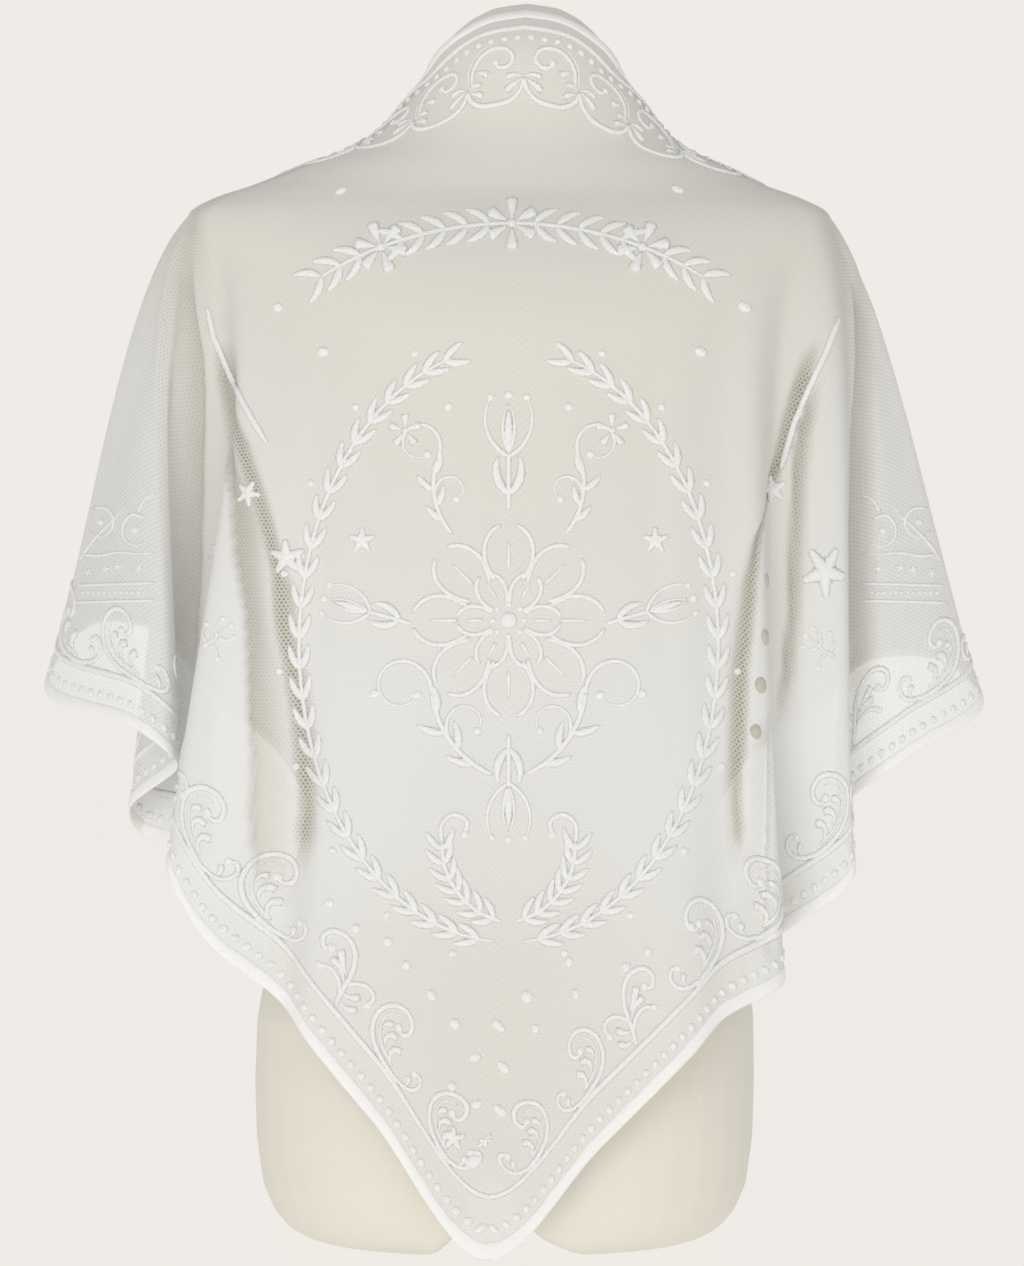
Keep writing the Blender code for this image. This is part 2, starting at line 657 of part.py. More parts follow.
def main():
    """Clears the scene and builds the mantilla and its form."""
    for old in list(bpy.data.objects):
        bpy.data.objects.remove(old)
    collection = new_collection("mantilla_on_form")
    cutters = new_collection("cutters")
    drape = Drape()
    dress_form(collection, cutters)
    cloth_pieces(drape, collection)


if __name__ == "__main__":
    main()
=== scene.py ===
"""The looks of a triangular net mantilla, worn over a limbless dress form and seen from its back.

Metres, +Z up, the wearer's back towards -Y. The cloth's cut is drawn flat, with its long edge on
y = 0 and its point at the bottom, and the drape says where each flat place lies when worn.
"""

import logging
import math
from collections import namedtuple
from collections.abc import Callable, Iterator, Sequence
from dataclasses import dataclass, field
from enum import Enum
from typing import Any

import bmesh
import bpy
import numpy as np
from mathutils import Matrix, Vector
from mathutils.bvhtree import BVHTree


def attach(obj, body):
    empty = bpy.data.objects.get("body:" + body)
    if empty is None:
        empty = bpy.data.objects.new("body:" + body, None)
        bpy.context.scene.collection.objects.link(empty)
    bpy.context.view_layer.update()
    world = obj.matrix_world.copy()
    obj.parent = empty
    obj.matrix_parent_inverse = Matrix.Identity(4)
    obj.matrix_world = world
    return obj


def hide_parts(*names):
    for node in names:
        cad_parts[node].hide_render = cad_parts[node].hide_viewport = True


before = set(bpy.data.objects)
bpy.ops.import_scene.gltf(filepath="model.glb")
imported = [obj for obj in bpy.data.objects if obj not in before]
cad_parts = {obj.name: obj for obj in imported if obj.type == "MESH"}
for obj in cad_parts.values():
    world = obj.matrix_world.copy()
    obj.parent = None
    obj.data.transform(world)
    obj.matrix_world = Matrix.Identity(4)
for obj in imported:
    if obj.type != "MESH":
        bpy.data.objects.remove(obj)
LOG = logging.getLogger("mantilla")
BODY = "root"

Section = namedtuple("Section", "height half_width back front centre_x fullness")

# The surface that the cloth lies on, from the form's foot to its neck.
FORM_SECTIONS = (
    Section(0.000, 0.098, 0.066, 0.064, -0.0056, 0.92),
    Section(0.002, 0.112, 0.076, 0.072, -0.0056, 0.92),
    Section(0.006, 0.125, 0.085, 0.079, -0.0056, 0.92),
    Section(0.012, 0.135, 0.091, 0.084, -0.0056, 0.92),
    Section(0.022, 0.144, 0.097, 0.088, -0.0056, 0.92),
    Section(0.038, 0.151, 0.102, 0.091, -0.0056, 0.92),
    Section(0.068, 0.155, 0.106, 0.093, -0.0056, 0.92),
    Section(0.102, 0.156, 0.108, 0.094, -0.0056, 0.92),
    Section(0.142, 0.155, 0.108, 0.093, -0.0050, 0.92),
    Section(0.190, 0.147, 0.103, 0.091, -0.0035, 0.92),
    Section(0.230, 0.136, 0.094, 0.089, -0.0020, 0.94),
    Section(0.276, 0.128, 0.086, 0.088, -0.0010, 0.95),
    Section(0.322, 0.129, 0.084, 0.091, 0.0000, 0.95),
    Section(0.370, 0.137, 0.089, 0.098, 0.0000, 0.94),
    Section(0.420, 0.147, 0.096, 0.106, 0.0000, 0.93),
    Section(0.470, 0.155, 0.101, 0.108, 0.0000, 0.93),
    Section(0.520, 0.161, 0.103, 0.101, 0.0000, 0.94),
    Section(0.560, 0.172, 0.101, 0.089, 0.0000, 0.95),
    Section(0.594, 0.186, 0.093, 0.074, 0.0000, 0.97),
    Section(0.613, 0.195, 0.085, 0.063, -0.0015, 0.99),
    Section(0.627, 0.199, 0.077, 0.055, -0.0020, 1.00),
    Section(0.637, 0.197, 0.070, 0.049, -0.0030, 1.00),
    Section(0.646, 0.182, 0.063, 0.045, -0.0040, 1.00),
    Section(0.654, 0.159, 0.059, 0.044, -0.0030, 1.00),
    Section(0.664, 0.136, 0.055, 0.044, -0.0010, 1.00),
    Section(0.678, 0.103, 0.050, 0.048, 0.0025, 1.00),
    Section(0.693, 0.084, 0.047, 0.053, 0.0055, 1.00),
    Section(0.708, 0.072, 0.046, 0.057, 0.0062, 1.00),
    Section(0.723, 0.060, 0.046, 0.059, 0.0064, 1.00),
    Section(0.736, 0.055, 0.044, 0.056, 0.0066, 1.00),
    Section(0.748, 0.047, 0.038, 0.048, 0.0070, 1.00),
    Section(0.758, 0.036, 0.029, 0.037, 0.0074, 1.00),
    Section(0.765, 0.023, 0.018, 0.024, 0.0080, 1.00),
)

NeckEdge = namedtuple("NeckEdge", "degrees height")

# The height of the long edge round the neck, by the angle from the middle of the back.
NECK_EDGE = (
    NeckEdge(0, 0.7600),
    NeckEdge(30, 0.7570),
    NeckEdge(60, 0.7450),
    NeckEdge(90, 0.7250),
    NeckEdge(118, 0.6990),
)

Fold = namedtuple("Fold", "name neck_deg leave_deg leave_z swell hem_x hem_y hem_z")

# One row for each fold line: where it leaves the long edge and the form, and where its hem hangs.
MIDDLE = Fold("point", 0, 0, 0.530, 0.000, -0.0160, -0.1190, 0.0038)
RIGHT_FOLDS = (
    Fold("back_inner", 14, 13, 0.535, 0.000, 0.0514, -0.1210, 0.0711),
    Fold("back_outer", 28, 28, 0.555, 0.000, 0.1070, -0.1180, 0.1268),
    Fold("hollow_a", 38, 40, 0.580, 0.000, 0.1266, -0.1040, 0.1478),
    Fold("edge_a", 48, 51, 0.600, 0.004, 0.1624, -0.0860, 0.1663),
    Fold("under_a", 57, 60, 0.612, 0.000, 0.1536, -0.0440, 0.1847),
    Fold("edge_b", 71, 71, 0.626, 0.004, 0.2069, -0.0520, 0.2285),
    Fold("under_b", 79, 80, 0.631, 0.000, 0.2003, -0.0120, 0.2661),
    Fold("wing_back", 86, 87, 0.635, 0.003, 0.2412, -0.0180, 0.3002),
    Fold("wing_edge", 92, 93, 0.636, 0.000, 0.2916, 0.0060, 0.3332),
    Fold("wing_front", 99, 101, 0.630, 0.002, 0.2640, 0.0480, 0.3620),
    Fold("hollow_c", 104, 110, 0.616, 0.000, 0.2240, 0.0620, 0.3600),
    Fold("edge_c", 108, 119, 0.596, 0.003, 0.1980, 0.1020, 0.3320),
    Fold("hollow_d", 111, 129, 0.572, 0.000, 0.1520, 0.0880, 0.3000),
    Fold("edge_d", 113, 140, 0.550, 0.002, 0.1240, 0.1210, 0.2520),
    Fold("hollow_e", 115, 151, 0.525, 0.000, 0.0880, 0.1080, 0.2000),
    Fold("front_border", 118, 161, 0.505, 0.000, 0.0460, 0.1210, 0.1350),
)
LEFT_FOLDS = (
    Fold("back_inner", -15, -14, 0.535, 0.000, -0.0826, -0.1210, 0.0854),
    Fold("back_outer", -28, -28, 0.555, 0.000, -0.1238, -0.1180, 0.1352),
    Fold("hollow_a", -37, -38, 0.580, 0.000, -0.1401, -0.1020, 0.1573),
    Fold("band_a", -46, -48, 0.596, 0.002, -0.1847, -0.1080, 0.1948),
    Fold("edge_a", -56, -59, 0.612, 0.003, -0.2083, -0.0980, 0.2374),
    Fold("under_a", -62, -66, 0.619, 0.000, -0.1860, -0.0300, 0.2440),
    Fold("crest_b", -68, -71, 0.624, 0.000, -0.2310, 0.0180, 0.2520),
    Fold("edge_b", -73, -76, 0.628, 0.003, -0.2378, -0.0060, 0.2690),
    Fold("under_b", -77, -80, 0.630, 0.010, -0.2052, -0.0500, 0.2960),
    Fold("hollow_b", -81, -83, 0.633, 0.013, -0.2090, -0.0680, 0.3050),
    Fold("wing_back", -86, -87, 0.635, 0.012, -0.2294, -0.0640, 0.3200),
    Fold("wing_edge", -92, -93, 0.637, 0.002, -0.2911, 0.0060, 0.3431),
    Fold("wing_front", -99, -101, 0.630, 0.004, -0.2640, 0.0480, 0.3840),
    Fold("hollow_c", -104, -110, 0.616, 0.000, -0.2240, 0.0620, 0.3780),
    Fold("edge_c", -108, -119, 0.596, 0.003, -0.1980, 0.1020, 0.3400),
    Fold("hollow_d", -111, -129, 0.572, 0.000, -0.1520, 0.0880, 0.3040),
    Fold("edge_d", -113, -140, 0.550, 0.002, -0.1240, 0.1210, 0.2540),
    Fold("hollow_e", -115, -151, 0.525, 0.000, -0.0880, 0.1080, 0.2020),
    Fold("front_border", -118, -161, 0.505, 0.000, -0.0400, 0.1210, 0.1380),
)

Crease = namedtuple("Crease", "name places left right shade open press")

# The main creases of the hanging sides. Each runs through places given as the share down the
# cloth and the number of the fold line, and reaches a distance to its left and to its right.
# Each crease's shade is painted shade: how much the net's colour is darkened along it.
CREASES = (
    Crease(
        "left_strip",
        ((0.38, 11.0), (0.42, 11.3), (0.48, 12.0), (0.52, 12.17), (0.62, 12.33), (0.69, 12.42), (0.82, 12.5)),
        0.028, 0.004, 0.54, 0.05, 0.005,
    ),
    Crease(
        "left_band",
        ((0.46, 12.5), (0.50, 12.7), (0.56, 13.1), (0.61, 14.17), (0.66, 14.42), (0.70, 14.75), (0.76, 15.08),
         (0.81, 15.33), (0.86, 15.42), (0.92, 15.6)),
        0.004, 0.040, 0.82, 0.10, 0.006,
    ),
    Crease(
        "left_mesh",
        ((0.50, 12.85), (0.55, 14.08), (0.564, 14.25), (0.593, 14.58), (0.621, 14.92), (0.643, 15.25),
         (0.679, 15.42), (0.714, 15.67), (0.743, 15.83), (0.786, 16.0), (0.83, 16.15), (0.88, 16.0)),
        0.013, 0.018, 0.80, 1.00, 0.003,
    ),
    Crease(
        "right_mesh",
        ((0.42, 24.75), (0.479, 24.5), (0.521, 24.32), (0.55, 24.05), (0.579, 23.2), (0.614, 22.9),
         (0.65, 22.75), (0.693, 22.6), (0.75, 22.5), (0.807, 22.4), (0.88, 22.4)),
        0.013, 0.007, 0.88, 1.00, 0.004,
    ),
    Crease(
        "right_beige",
        ((0.46, 24.70), (0.521, 24.50), (0.571, 24.44), (0.686, 24.37), (0.743, 24.28), (0.79, 24.2)),
        0.004, 0.012, 0.85, 0.45, 0.004,
    ),
    Crease(
        "right_strip",
        ((0.40, 26.8), (0.464, 26.6), (0.564, 26.25), (0.693, 26.2), (0.807, 26.25), (0.90, 26.3)),
        0.004, 0.024, 0.60, 0.05, 0.005,
    ),
    Crease(
        "right_low",
        ((0.74, 23.2), (0.793, 23.0), (0.864, 22.8), (0.914, 22.7), (0.97, 22.75)),
        0.024, 0.004, 0.28, 0.0, 0.004,
    ),
)


def distances(points: np.ndarray, power: float = 1.0) -> np.ndarray:
    """Measures along a line of points.

    Args:
        points: The points, one a row.
        power: What each step's length is raised to before the steps are added.

    Returns:
        The distance from the first point to each.
    """
    steps = np.linalg.norm(np.diff(points, axis=0), axis=1) ** power
    return np.concatenate([[0.0], np.cumsum(steps)])


def way_at(degrees: float) -> np.ndarray:
    """The flat direction at an angle from the right."""
    return np.array([math.cos(math.radians(degrees)), math.sin(math.radians(degrees))])


def cubic(t: np.ndarray, start: Any, end: Any, leaving: Any, arriving: Any) -> np.ndarray:
    """Reads a cubic between two ends.

    Args:
        t: The share of the way, from 0 to 1.
        start: The value at 0.
        end: The value at 1.
        leaving: The slope at 0.
        arriving: The slope at 1.

    Returns:
        The values there.
    """
    ends = (1 + 2 * t) * (1 - t) ** 2 * start + t * t * (3 - 2 * t) * end
    return ends + t * (1 - t) ** 2 * leaving + t * t * (t - 1) * arriving


def hermite(at: np.ndarray, known: np.ndarray, values: np.ndarray, tangents: np.ndarray) -> np.ndarray:
    """Reads a cubic curve with the given values and tangents.

    Args:
        at: Where to read it.
        known: The places of the curve's knots, in rising order.
        values: The values at the knots.
        tangents: The slopes at the knots.

    Returns:
        The values at the places asked for.
    """
    at = np.clip(at, known[0], known[-1])
    left = np.clip(np.searchsorted(known, at, side="right") - 1, 0, len(known) - 2)
    width = known[left + 1] - known[left]
    slopes = tangents[left] * width, tangents[left + 1] * width
    return cubic((at - known[left]) / width, values[left], values[left + 1], *slopes)


def smooth_read(at: Any, known: Sequence[float], values: Sequence[float]) -> np.ndarray:
    """Reads between a table's rows, on a curve that never swings past its rows.

    Args:
        at: Where to read.
        known: The places of the rows.
        values: The values of the rows.

    Returns:
        The values between the rows.
    """
    places = np.asarray(known, float)
    heights = np.asarray(values, float)
    steps = np.diff(places)
    slopes = np.diff(heights) / steps
    same_way = slopes[:-1] * slopes[1:] > 0
    weight_a = 2 * steps[1:] + steps[:-1]
    weight_b = steps[1:] + 2 * steps[:-1]
    safe_a = np.where(same_way, slopes[:-1], 1.0)
    safe_b = np.where(same_way, slopes[1:], 1.0)
    mean = (weight_a + weight_b) / (weight_a / safe_a + weight_b / safe_b)
    tangents = np.concatenate([slopes[:1], np.where(same_way, mean, 0.0), slopes[-1:]])
    return hermite(np.asarray(at, float), places, heights, tangents)


def round_read(at: float, known: np.ndarray, values: Sequence[float]) -> np.ndarray:
    """Reads between a table's rows, on a rounded curve through them.

    Args:
        at: Where to read.
        known: The places of the rows.
        values: The values of the rows.

    Returns:
        The value there.
    """
    heights = np.asarray(values, float)
    steps = np.diff(known)
    slopes = np.diff(heights) / steps
    share = steps[1:] / (steps[:-1] + steps[1:])
    middle = slopes[:-1] * share + slopes[1:] * (1 - share)
    tangents = np.concatenate([slopes[:1], middle, slopes[-1:]])
    return hermite(at, known, heights, tangents)


@dataclass
class FormSides:
    """The smooth side of the dress form, read at any angle and height."""

    sections: Sequence[Section] = FORM_SECTIONS
    normal_turn: float = 1.0
    normal_rise: float = 0.002
    least_reach: float = 0.2

    def measure(self, name: str, height: Any) -> np.ndarray:
        """Reads one column of the sections.

        Args:
            name: The column.
            height: The heights above the floor.

        Returns:
            The column's values there.
        """
        heights = [row.height for row in self.sections]
        return smooth_read(height, heights, [getattr(row, name) for row in self.sections])

    def point(self, degrees: Any, height: Any) -> np.ndarray:
        """Finds a point of the side.

        Args:
            degrees: The angle from the middle of the back.
            height: The height above the floor.

        Returns:
            The points, with their three values last.
        """
        angle = np.radians(degrees)
        power = self.measure("fullness", height)
        sine, cosine = np.sin(angle), np.cos(angle)
        depth = np.where(cosine > 0, self.measure("back", height), self.measure("front", height))
        across = self.measure("half_width", height) * np.sign(sine) * np.abs(sine) ** power
        y = -depth * np.sign(cosine) * np.abs(cosine) ** power
        x = self.measure("centre_x", height) + across
        return np.stack(np.broadcast_arrays(x, y, height), axis=-1)

    def normal(self, degrees: Any, height: Any) -> np.ndarray:
        """Finds the outward direction of the side.

        Args:
            degrees: The angle from the middle of the back.
            height: The height above the floor.

        Returns:
            The directions, one unit long.
        """
        turn, rise = self.normal_turn, self.normal_rise
        along = self.point(degrees + turn, height) - self.point(degrees - turn, height)
        up = self.point(degrees, height + rise) - self.point(degrees, height - rise)
        normal = np.cross(along, up)
        return normal / np.linalg.norm(normal, axis=-1, keepdims=True)

    def reach(self, points: np.ndarray, gap: float = 0.0) -> np.ndarray:
        """How far out points lie from the middle of the form, where 1 is its side.

        Args:
            points: The points, with their three values last.
            gap: A distance added to the side.

        Returns:
            The reach of each point.
        """
        x, y, z = np.moveaxis(points, -1, 0)
        power = 2 / self.measure("fullness", z)
        across = self.measure("half_width", z) + gap
        depth = np.where(y < 0, self.measure("back", z), self.measure("front", z)) + gap
        dx = x - self.measure("centre_x", z)
        return (np.abs(dx / across) ** power + np.abs(y / depth) ** power) ** (1 / power)

    def clear(self, points: np.ndarray, gap: float) -> np.ndarray:
        """Pushes points straight out from the middle where they come too near the side.

        Args:
            points: The points, with their three values last.
            gap: The least distance from the side.

        Returns:
            The points again, clear of the side.
        """
        x, y, z = np.moveaxis(points, -1, 0)
        reach = self.reach(points, gap)
        too_near = (reach < 1) & (z < self.sections[-1].height)
        push = np.where(too_near, 1 / np.maximum(reach, self.least_reach), 1.0)
        dx = x - self.measure("centre_x", z)
        return np.stack([x + dx * (push - 1), y * push, z], axis=-1)


@dataclass
class Drape:
    """The worn cloth as one smooth surface, and where each place of the flat cut lies on it."""

    sides: FormSides = field(default_factory=FormSides)
    rest_gap: float = 0.0016
    leaving_pull: float = 0.62
    swell_shape: float = 6.75
    per_fold: int = 13
    rows: int = 180
    crease_end: float = 0.04
    back_folds: tuple = (11.0, 12.6, 24.6, 26.2)
    front_folds: tuple = (6.9, 28.1)
    front_fade: float = 0.5
    warm_reach: float = 0.45
    rest_points: int = 60
    fall_points: int = 90
    halvings: int = 24

    def __post_init__(self) -> None:
        """Hangs every line of the cloth and measures its cut."""
        folds = LEFT_FOLDS[::-1] + (MIDDLE,) + RIGHT_FOLDS
        hems = np.array([(f.hem_x, f.hem_y, f.hem_z) for f in folds])
        self.places = distances(hems, 0.5)
        self.columns = (len(folds) - 1) * self.per_fold
        self.middle = len(LEFT_FOLDS) * self.per_fold
        index = np.linspace(0, len(folds) - 1, self.columns + 1)
        fine = np.interp(index, range(len(folds)), self.places)
        self.grid = np.array([self.hang(folds, place) for place in fine])
        self.measure_cut()
        self.normals = self.find_normals()
        self.press_creases()
        self.normals = self.find_normals()
        self.ray_tree = self.make_ray_tree()

    def hang(self, folds: Sequence[Fold], place: float) -> np.ndarray:
        """Lays one line of the cloth over the form and lets it fall to the hem.

        Args:
            folds: Every fold line, from the left front border to the right one.
            place: Which line, between the fold lines' own places.

        Returns:
            The line's evenly spaced points, from the long edge to the hem.
        """
        columns = [[getattr(f, name) for f in folds] for name in Fold._fields[1:]]
        neck, leave, leave_z, swell = (smooth_read(place, self.places, column) for column in columns[:4])
        hem = np.array([round_read(place, self.places, column) for column in columns[4:]])
        top = smooth_read(abs(neck), [r.degrees for r in NECK_EDGE], [r.height for r in NECK_EDGE])
        share = np.linspace(0, 1, self.rest_points)
        heights = top + (leave_z - top) * share
        degrees = neck + (leave - neck) * share
        rest = self.sides.point(degrees, heights) + self.rest_gap * self.sides.normal(degrees, heights)
        start = rest[-1]
        drop = hem - start
        heading = rest[-1] - rest[-3]
        heading *= self.leaving_pull * np.linalg.norm(drop) / np.linalg.norm(heading)
        out = self.sides.normal(leave, leave_z)
        t = np.linspace(0, 1, self.fall_points)[1:, None]
        fall = cubic(t, start, hem, heading, drop) + self.swell_shape * t * (1 - t) ** 2 * swell * out
        line = np.concatenate([rest, self.sides.clear(fall, self.rest_gap)])
        along = distances(line)
        even = np.linspace(0, along[-1], self.rows + 1)
        return np.stack([np.interp(even, along, line[:, k]) for k in range(3)], axis=1)

    def measure_cut(self) -> None:
        """Works out the flat triangle, and how far across it each line lies at each row."""
        lengths = np.linalg.norm(np.diff(self.grid, axis=1), axis=2).sum(axis=1)
        self.drop = float(lengths[self.middle])
        steps = np.linalg.norm(np.diff(self.grid, axis=0), axis=2)
        self.across = np.concatenate([np.zeros((1, self.rows + 1)), np.cumsum(steps, axis=0)])
        signed = self.across - self.across[self.middle]
        self.neck_half = float((signed[-1, 0] - signed[0, 0]) / 2)
        self.half_width = float((lengths[0] + lengths[-1]) / 2 + self.neck_half)
        self.shares = np.where(signed < 0, signed / -signed[0], signed / signed[-1])

    def press_creases(self) -> None:
        """Presses the main creases into the surface, and notes where the net gets painted shade and where it is
        more open.
        """
        across = self.across
        down = np.linspace(0, 1, self.rows + 1)
        columns = np.arange(self.columns + 1)
        folds = columns / self.per_fold
        first, second, third, last = self.back_folds
        back = np.minimum((folds - first) / (second - first), (last - folds) / (last - third))
        left, right = self.front_folds
        front = np.maximum(left - folds, folds - right) / self.front_fade
        dense = np.clip(np.maximum(back, front), 0, 1)
        self.open = np.tile(-dense[:, None], (1, self.rows + 1))
        self.shade = np.zeros(across.shape)
        self.warm = np.clip(1 - (self.sides.reach(self.grid) - 1) / self.warm_reach, 0, 1)
        press = np.zeros(across.shape)
        for crease in CREASES:
            known = np.array(crease.places)
            path = np.interp(down, known[:, 0], known[:, 1]) * self.per_fold
            middle = [np.interp(place, columns, across[:, j]) for j, place in enumerate(path)]
            off = across - np.array(middle)
            near = np.clip(1 - np.abs(off) / np.where(off < 0, crease.left, crease.right), 0, 1)
            ends = np.minimum(down - known[0, 0], known[-1, 0] - down) / self.crease_end
            weight = near * near * (3 - 2 * near) * np.clip(ends, 0, 1)
            # Painted shade along the crease.
            self.shade = np.maximum(self.shade, weight * crease.shade)
            self.open = np.maximum(self.open, weight * (crease.open + 1) - 1)
            press = np.maximum(press, weight * crease.press)
        self.grid = self.sides.clear(self.grid - self.normals * press[..., None], self.rest_gap)

    def reach(self, down: np.ndarray) -> np.ndarray:
        """The half width of the row that lies a share of the drop down."""
        return self.neck_half + (self.half_width - self.neck_half) * down

    def flat_of(self, share: np.ndarray, down: np.ndarray) -> np.ndarray:
        """The flat places of the cloth's points, by their share across and their share down."""
        return np.stack([share * self.reach(down), -self.drop * down * (1 - np.abs(share))], axis=-1)

    def find(self, flat: np.ndarray) -> tuple[np.ndarray, np.ndarray]:
        """Finds flat places on the fine surface.

        Args:
            flat: Places of the cut, one a row.

        Returns:
            Their columns and rows, as numbers with fractions.
        """
        x, low = np.abs(flat[:, 0]), -flat[:, 1] / self.drop
        spare = self.half_width - self.neck_half
        b = self.neck_half - x - low * spare
        down = (-b + np.sqrt(b * b + 4 * spare * low * self.neck_half)) / (2 * spare)
        down = np.clip(down, 0, 1)
        share = np.clip(flat[:, 0] / self.reach(down), -1, 1)
        row = down * self.rows
        left = np.zeros(len(flat))
        right = np.full(len(flat), float(self.columns))
        for _ in range(self.halvings):
            column = (left + right) / 2
            short = self.read(self.shares[..., None], column, row)[:, 0] < share
            left = np.where(short, column, left)
            right = np.where(short, right, column)
        return column, row

    def find_normals(self) -> np.ndarray:
        """The outward direction at each point of the fine surface."""
        normal = np.cross(np.gradient(self.grid, axis=1), np.gradient(self.grid, axis=0))
        return normal / np.linalg.norm(normal, axis=2, keepdims=True)

    def read(self, table: np.ndarray, column: np.ndarray, row: np.ndarray) -> np.ndarray:
        """Reads a table of the fine surface between its points.

        Args:
            table: Values for each line and row, each a list of one or more.
            column: The lines to read at, with fractions.
            row: The rows to read at, with fractions.

        Returns:
            The values, a list for each place.
        """
        i = np.clip(column.astype(int), 0, table.shape[0] - 2)
        j = np.clip(row.astype(int), 0, table.shape[1] - 2)
        a, b = (column - i)[:, None], (row - j)[:, None]
        near = table[i, j] * (1 - b) + table[i, j + 1] * b
        far = table[i + 1, j] * (1 - b) + table[i + 1, j + 1] * b
        return near * (1 - a) + far * a

    def outward(self, column: np.ndarray, row: np.ndarray) -> np.ndarray:
        """Reads the fine surface's outward direction, one unit long, at lines and rows with fractions."""
        normal = self.read(self.normals, column, row)
        return normal / np.linalg.norm(normal, axis=1, keepdims=True)

    def settle(self, column: np.ndarray, row: np.ndarray, lift: np.ndarray) -> np.ndarray:
        """Finds points over the fine surface.

        Args:
            column: Their lines, with fractions.
            row: Their rows, with fractions.
            lift: How far out each lies.

        Returns:
            The points, in the worn cloth's own space.
        """
        return self.read(self.grid, column, row) + self.outward(column, row) * lift[:, None]

    def lay(self, points: np.ndarray) -> np.ndarray:
        """Lays drawn points on the worn cloth.

        Args:
            points: Flat places of the cut, with their lift off it as the third value.

        Returns:
            The points in the worn cloth's own space.
        """
        column, row = self.find(points[:, :2])
        return self.settle(column, row, points[:, 2])

    def make_ray_tree(self) -> BVHTree:
        """Makes a tree of the fine surface that rays can meet.

        Returns:
            The tree, its faces numbered line by line.
        """
        count = self.rows + 1
        verts = self.grid.reshape(-1, 3).tolist()
        faces = [
            (i * count + j, i * count + j + 1, (i + 1) * count + j + 1, (i + 1) * count + j)
            for i in range(self.columns)
            for j in range(self.rows)
        ]
        return BVHTree.FromPolygons(verts, faces)

    def pin(self, points: np.ndarray) -> np.ndarray:
        """Pins a design to the wearer's back as it reads from straight behind.

        Args:
            points: The design's x and z as seen from behind, with its lift as the third value.

        Returns:
            The points on the outermost cloth there.
        """
        hits, columns, rows = (np.array(found) for found in zip(*(self.meet(x, z) for x, z in points[:, :2])))
        return hits + self.outward(columns, rows) * points[:, 2:]

    def meet(self, x: float, z: float) -> tuple[np.ndarray, float, float]:
        """Finds the outermost cloth straight behind a place on the back.

        Args:
            x: The place across, as seen from behind.
            z: The place above the floor.

        Returns:
            The point there, with its line and its row, which have fractions.
        """
        hit = self.ray_tree.ray_cast(Vector((x, -1, z)), Vector((0, 1, 0)))
        i, j = divmod(hit[2], self.rows)
        corner = self.grid[i, j]
        over, under = self.grid[i + 1, j] - corner, self.grid[i, j + 1] - corner
        to = np.array(hit[0]) - corner
        ways = np.array([[over @ over, over @ under], [over @ under, under @ under]])
        a, b = np.linalg.solve(ways, [to @ over, to @ under])
        return np.array(hit[0]), i + float(a), j + float(b)

    def flat_at(self, x: float, z: float) -> np.ndarray:
        """Finds the flat place of the outermost cloth straight behind a place on the back.

        Args:
            x: The place across, as seen from behind.
            z: The place above the floor.

        Returns:
            The place on the cut.
        """
        column, row = np.array(self.meet(x, z)[1:])[:, None]
        share = self.read(self.shares[..., None], column, row)[0, 0]
        return self.flat_of(share, row[0] / self.rows)


@dataclass
class Shade:
    """A value in a finish's node tree, with the maths that adds its nodes."""

    desk: "NodeDesk"
    socket: bpy.types.NodeSocket

    def __add__(self, other: Any) -> "Shade":
        """The sum."""
        return self.desk.maths("ADD", self, other)

    __radd__ = __add__

    def __mul__(self, other: Any) -> "Shade":
        """The product."""
        return self.desk.maths("MULTIPLY", self, other)

    __rmul__ = __mul__

    def __sub__(self, other: Any) -> "Shade":
        """The difference."""
        return self.desk.maths("SUBTRACT", self, other)

    def __rsub__(self, other: Any) -> "Shade":
        """The difference, the other way round."""
        return self.desk.maths("SUBTRACT", other, self)

    def __abs__(self) -> "Shade":
        """The size without its sign."""
        return self.desk.maths("ABSOLUTE", self)

    def wrap(self, half: float) -> "Shade":
        """The value brought into the span from -half to half."""
        return self.desk.maths("WRAP", self, half, -half)

    def lower(self, other: Any) -> "Shade":
        """The lower of two values."""
        return self.desk.maths("MINIMUM", self, other)

    def upper(self, other: Any) -> "Shade":
        """The higher of two values."""
        return self.desk.maths("MAXIMUM", self, other)

    def ramp(self, start: float, end: float) -> "Shade":
        """Spreads a span of the value smoothly from 0 to 1.

        Args:
            start: The value that gives 0.
            end: The value that gives 1.

        Returns:
            The spread value.
        """
        sockets = {"Value": self, "From Min": start, "From Max": end}
        return self.desk.node("ShaderNodeMapRange", {"interpolation_type": "SMOOTHSTEP"}, sockets)


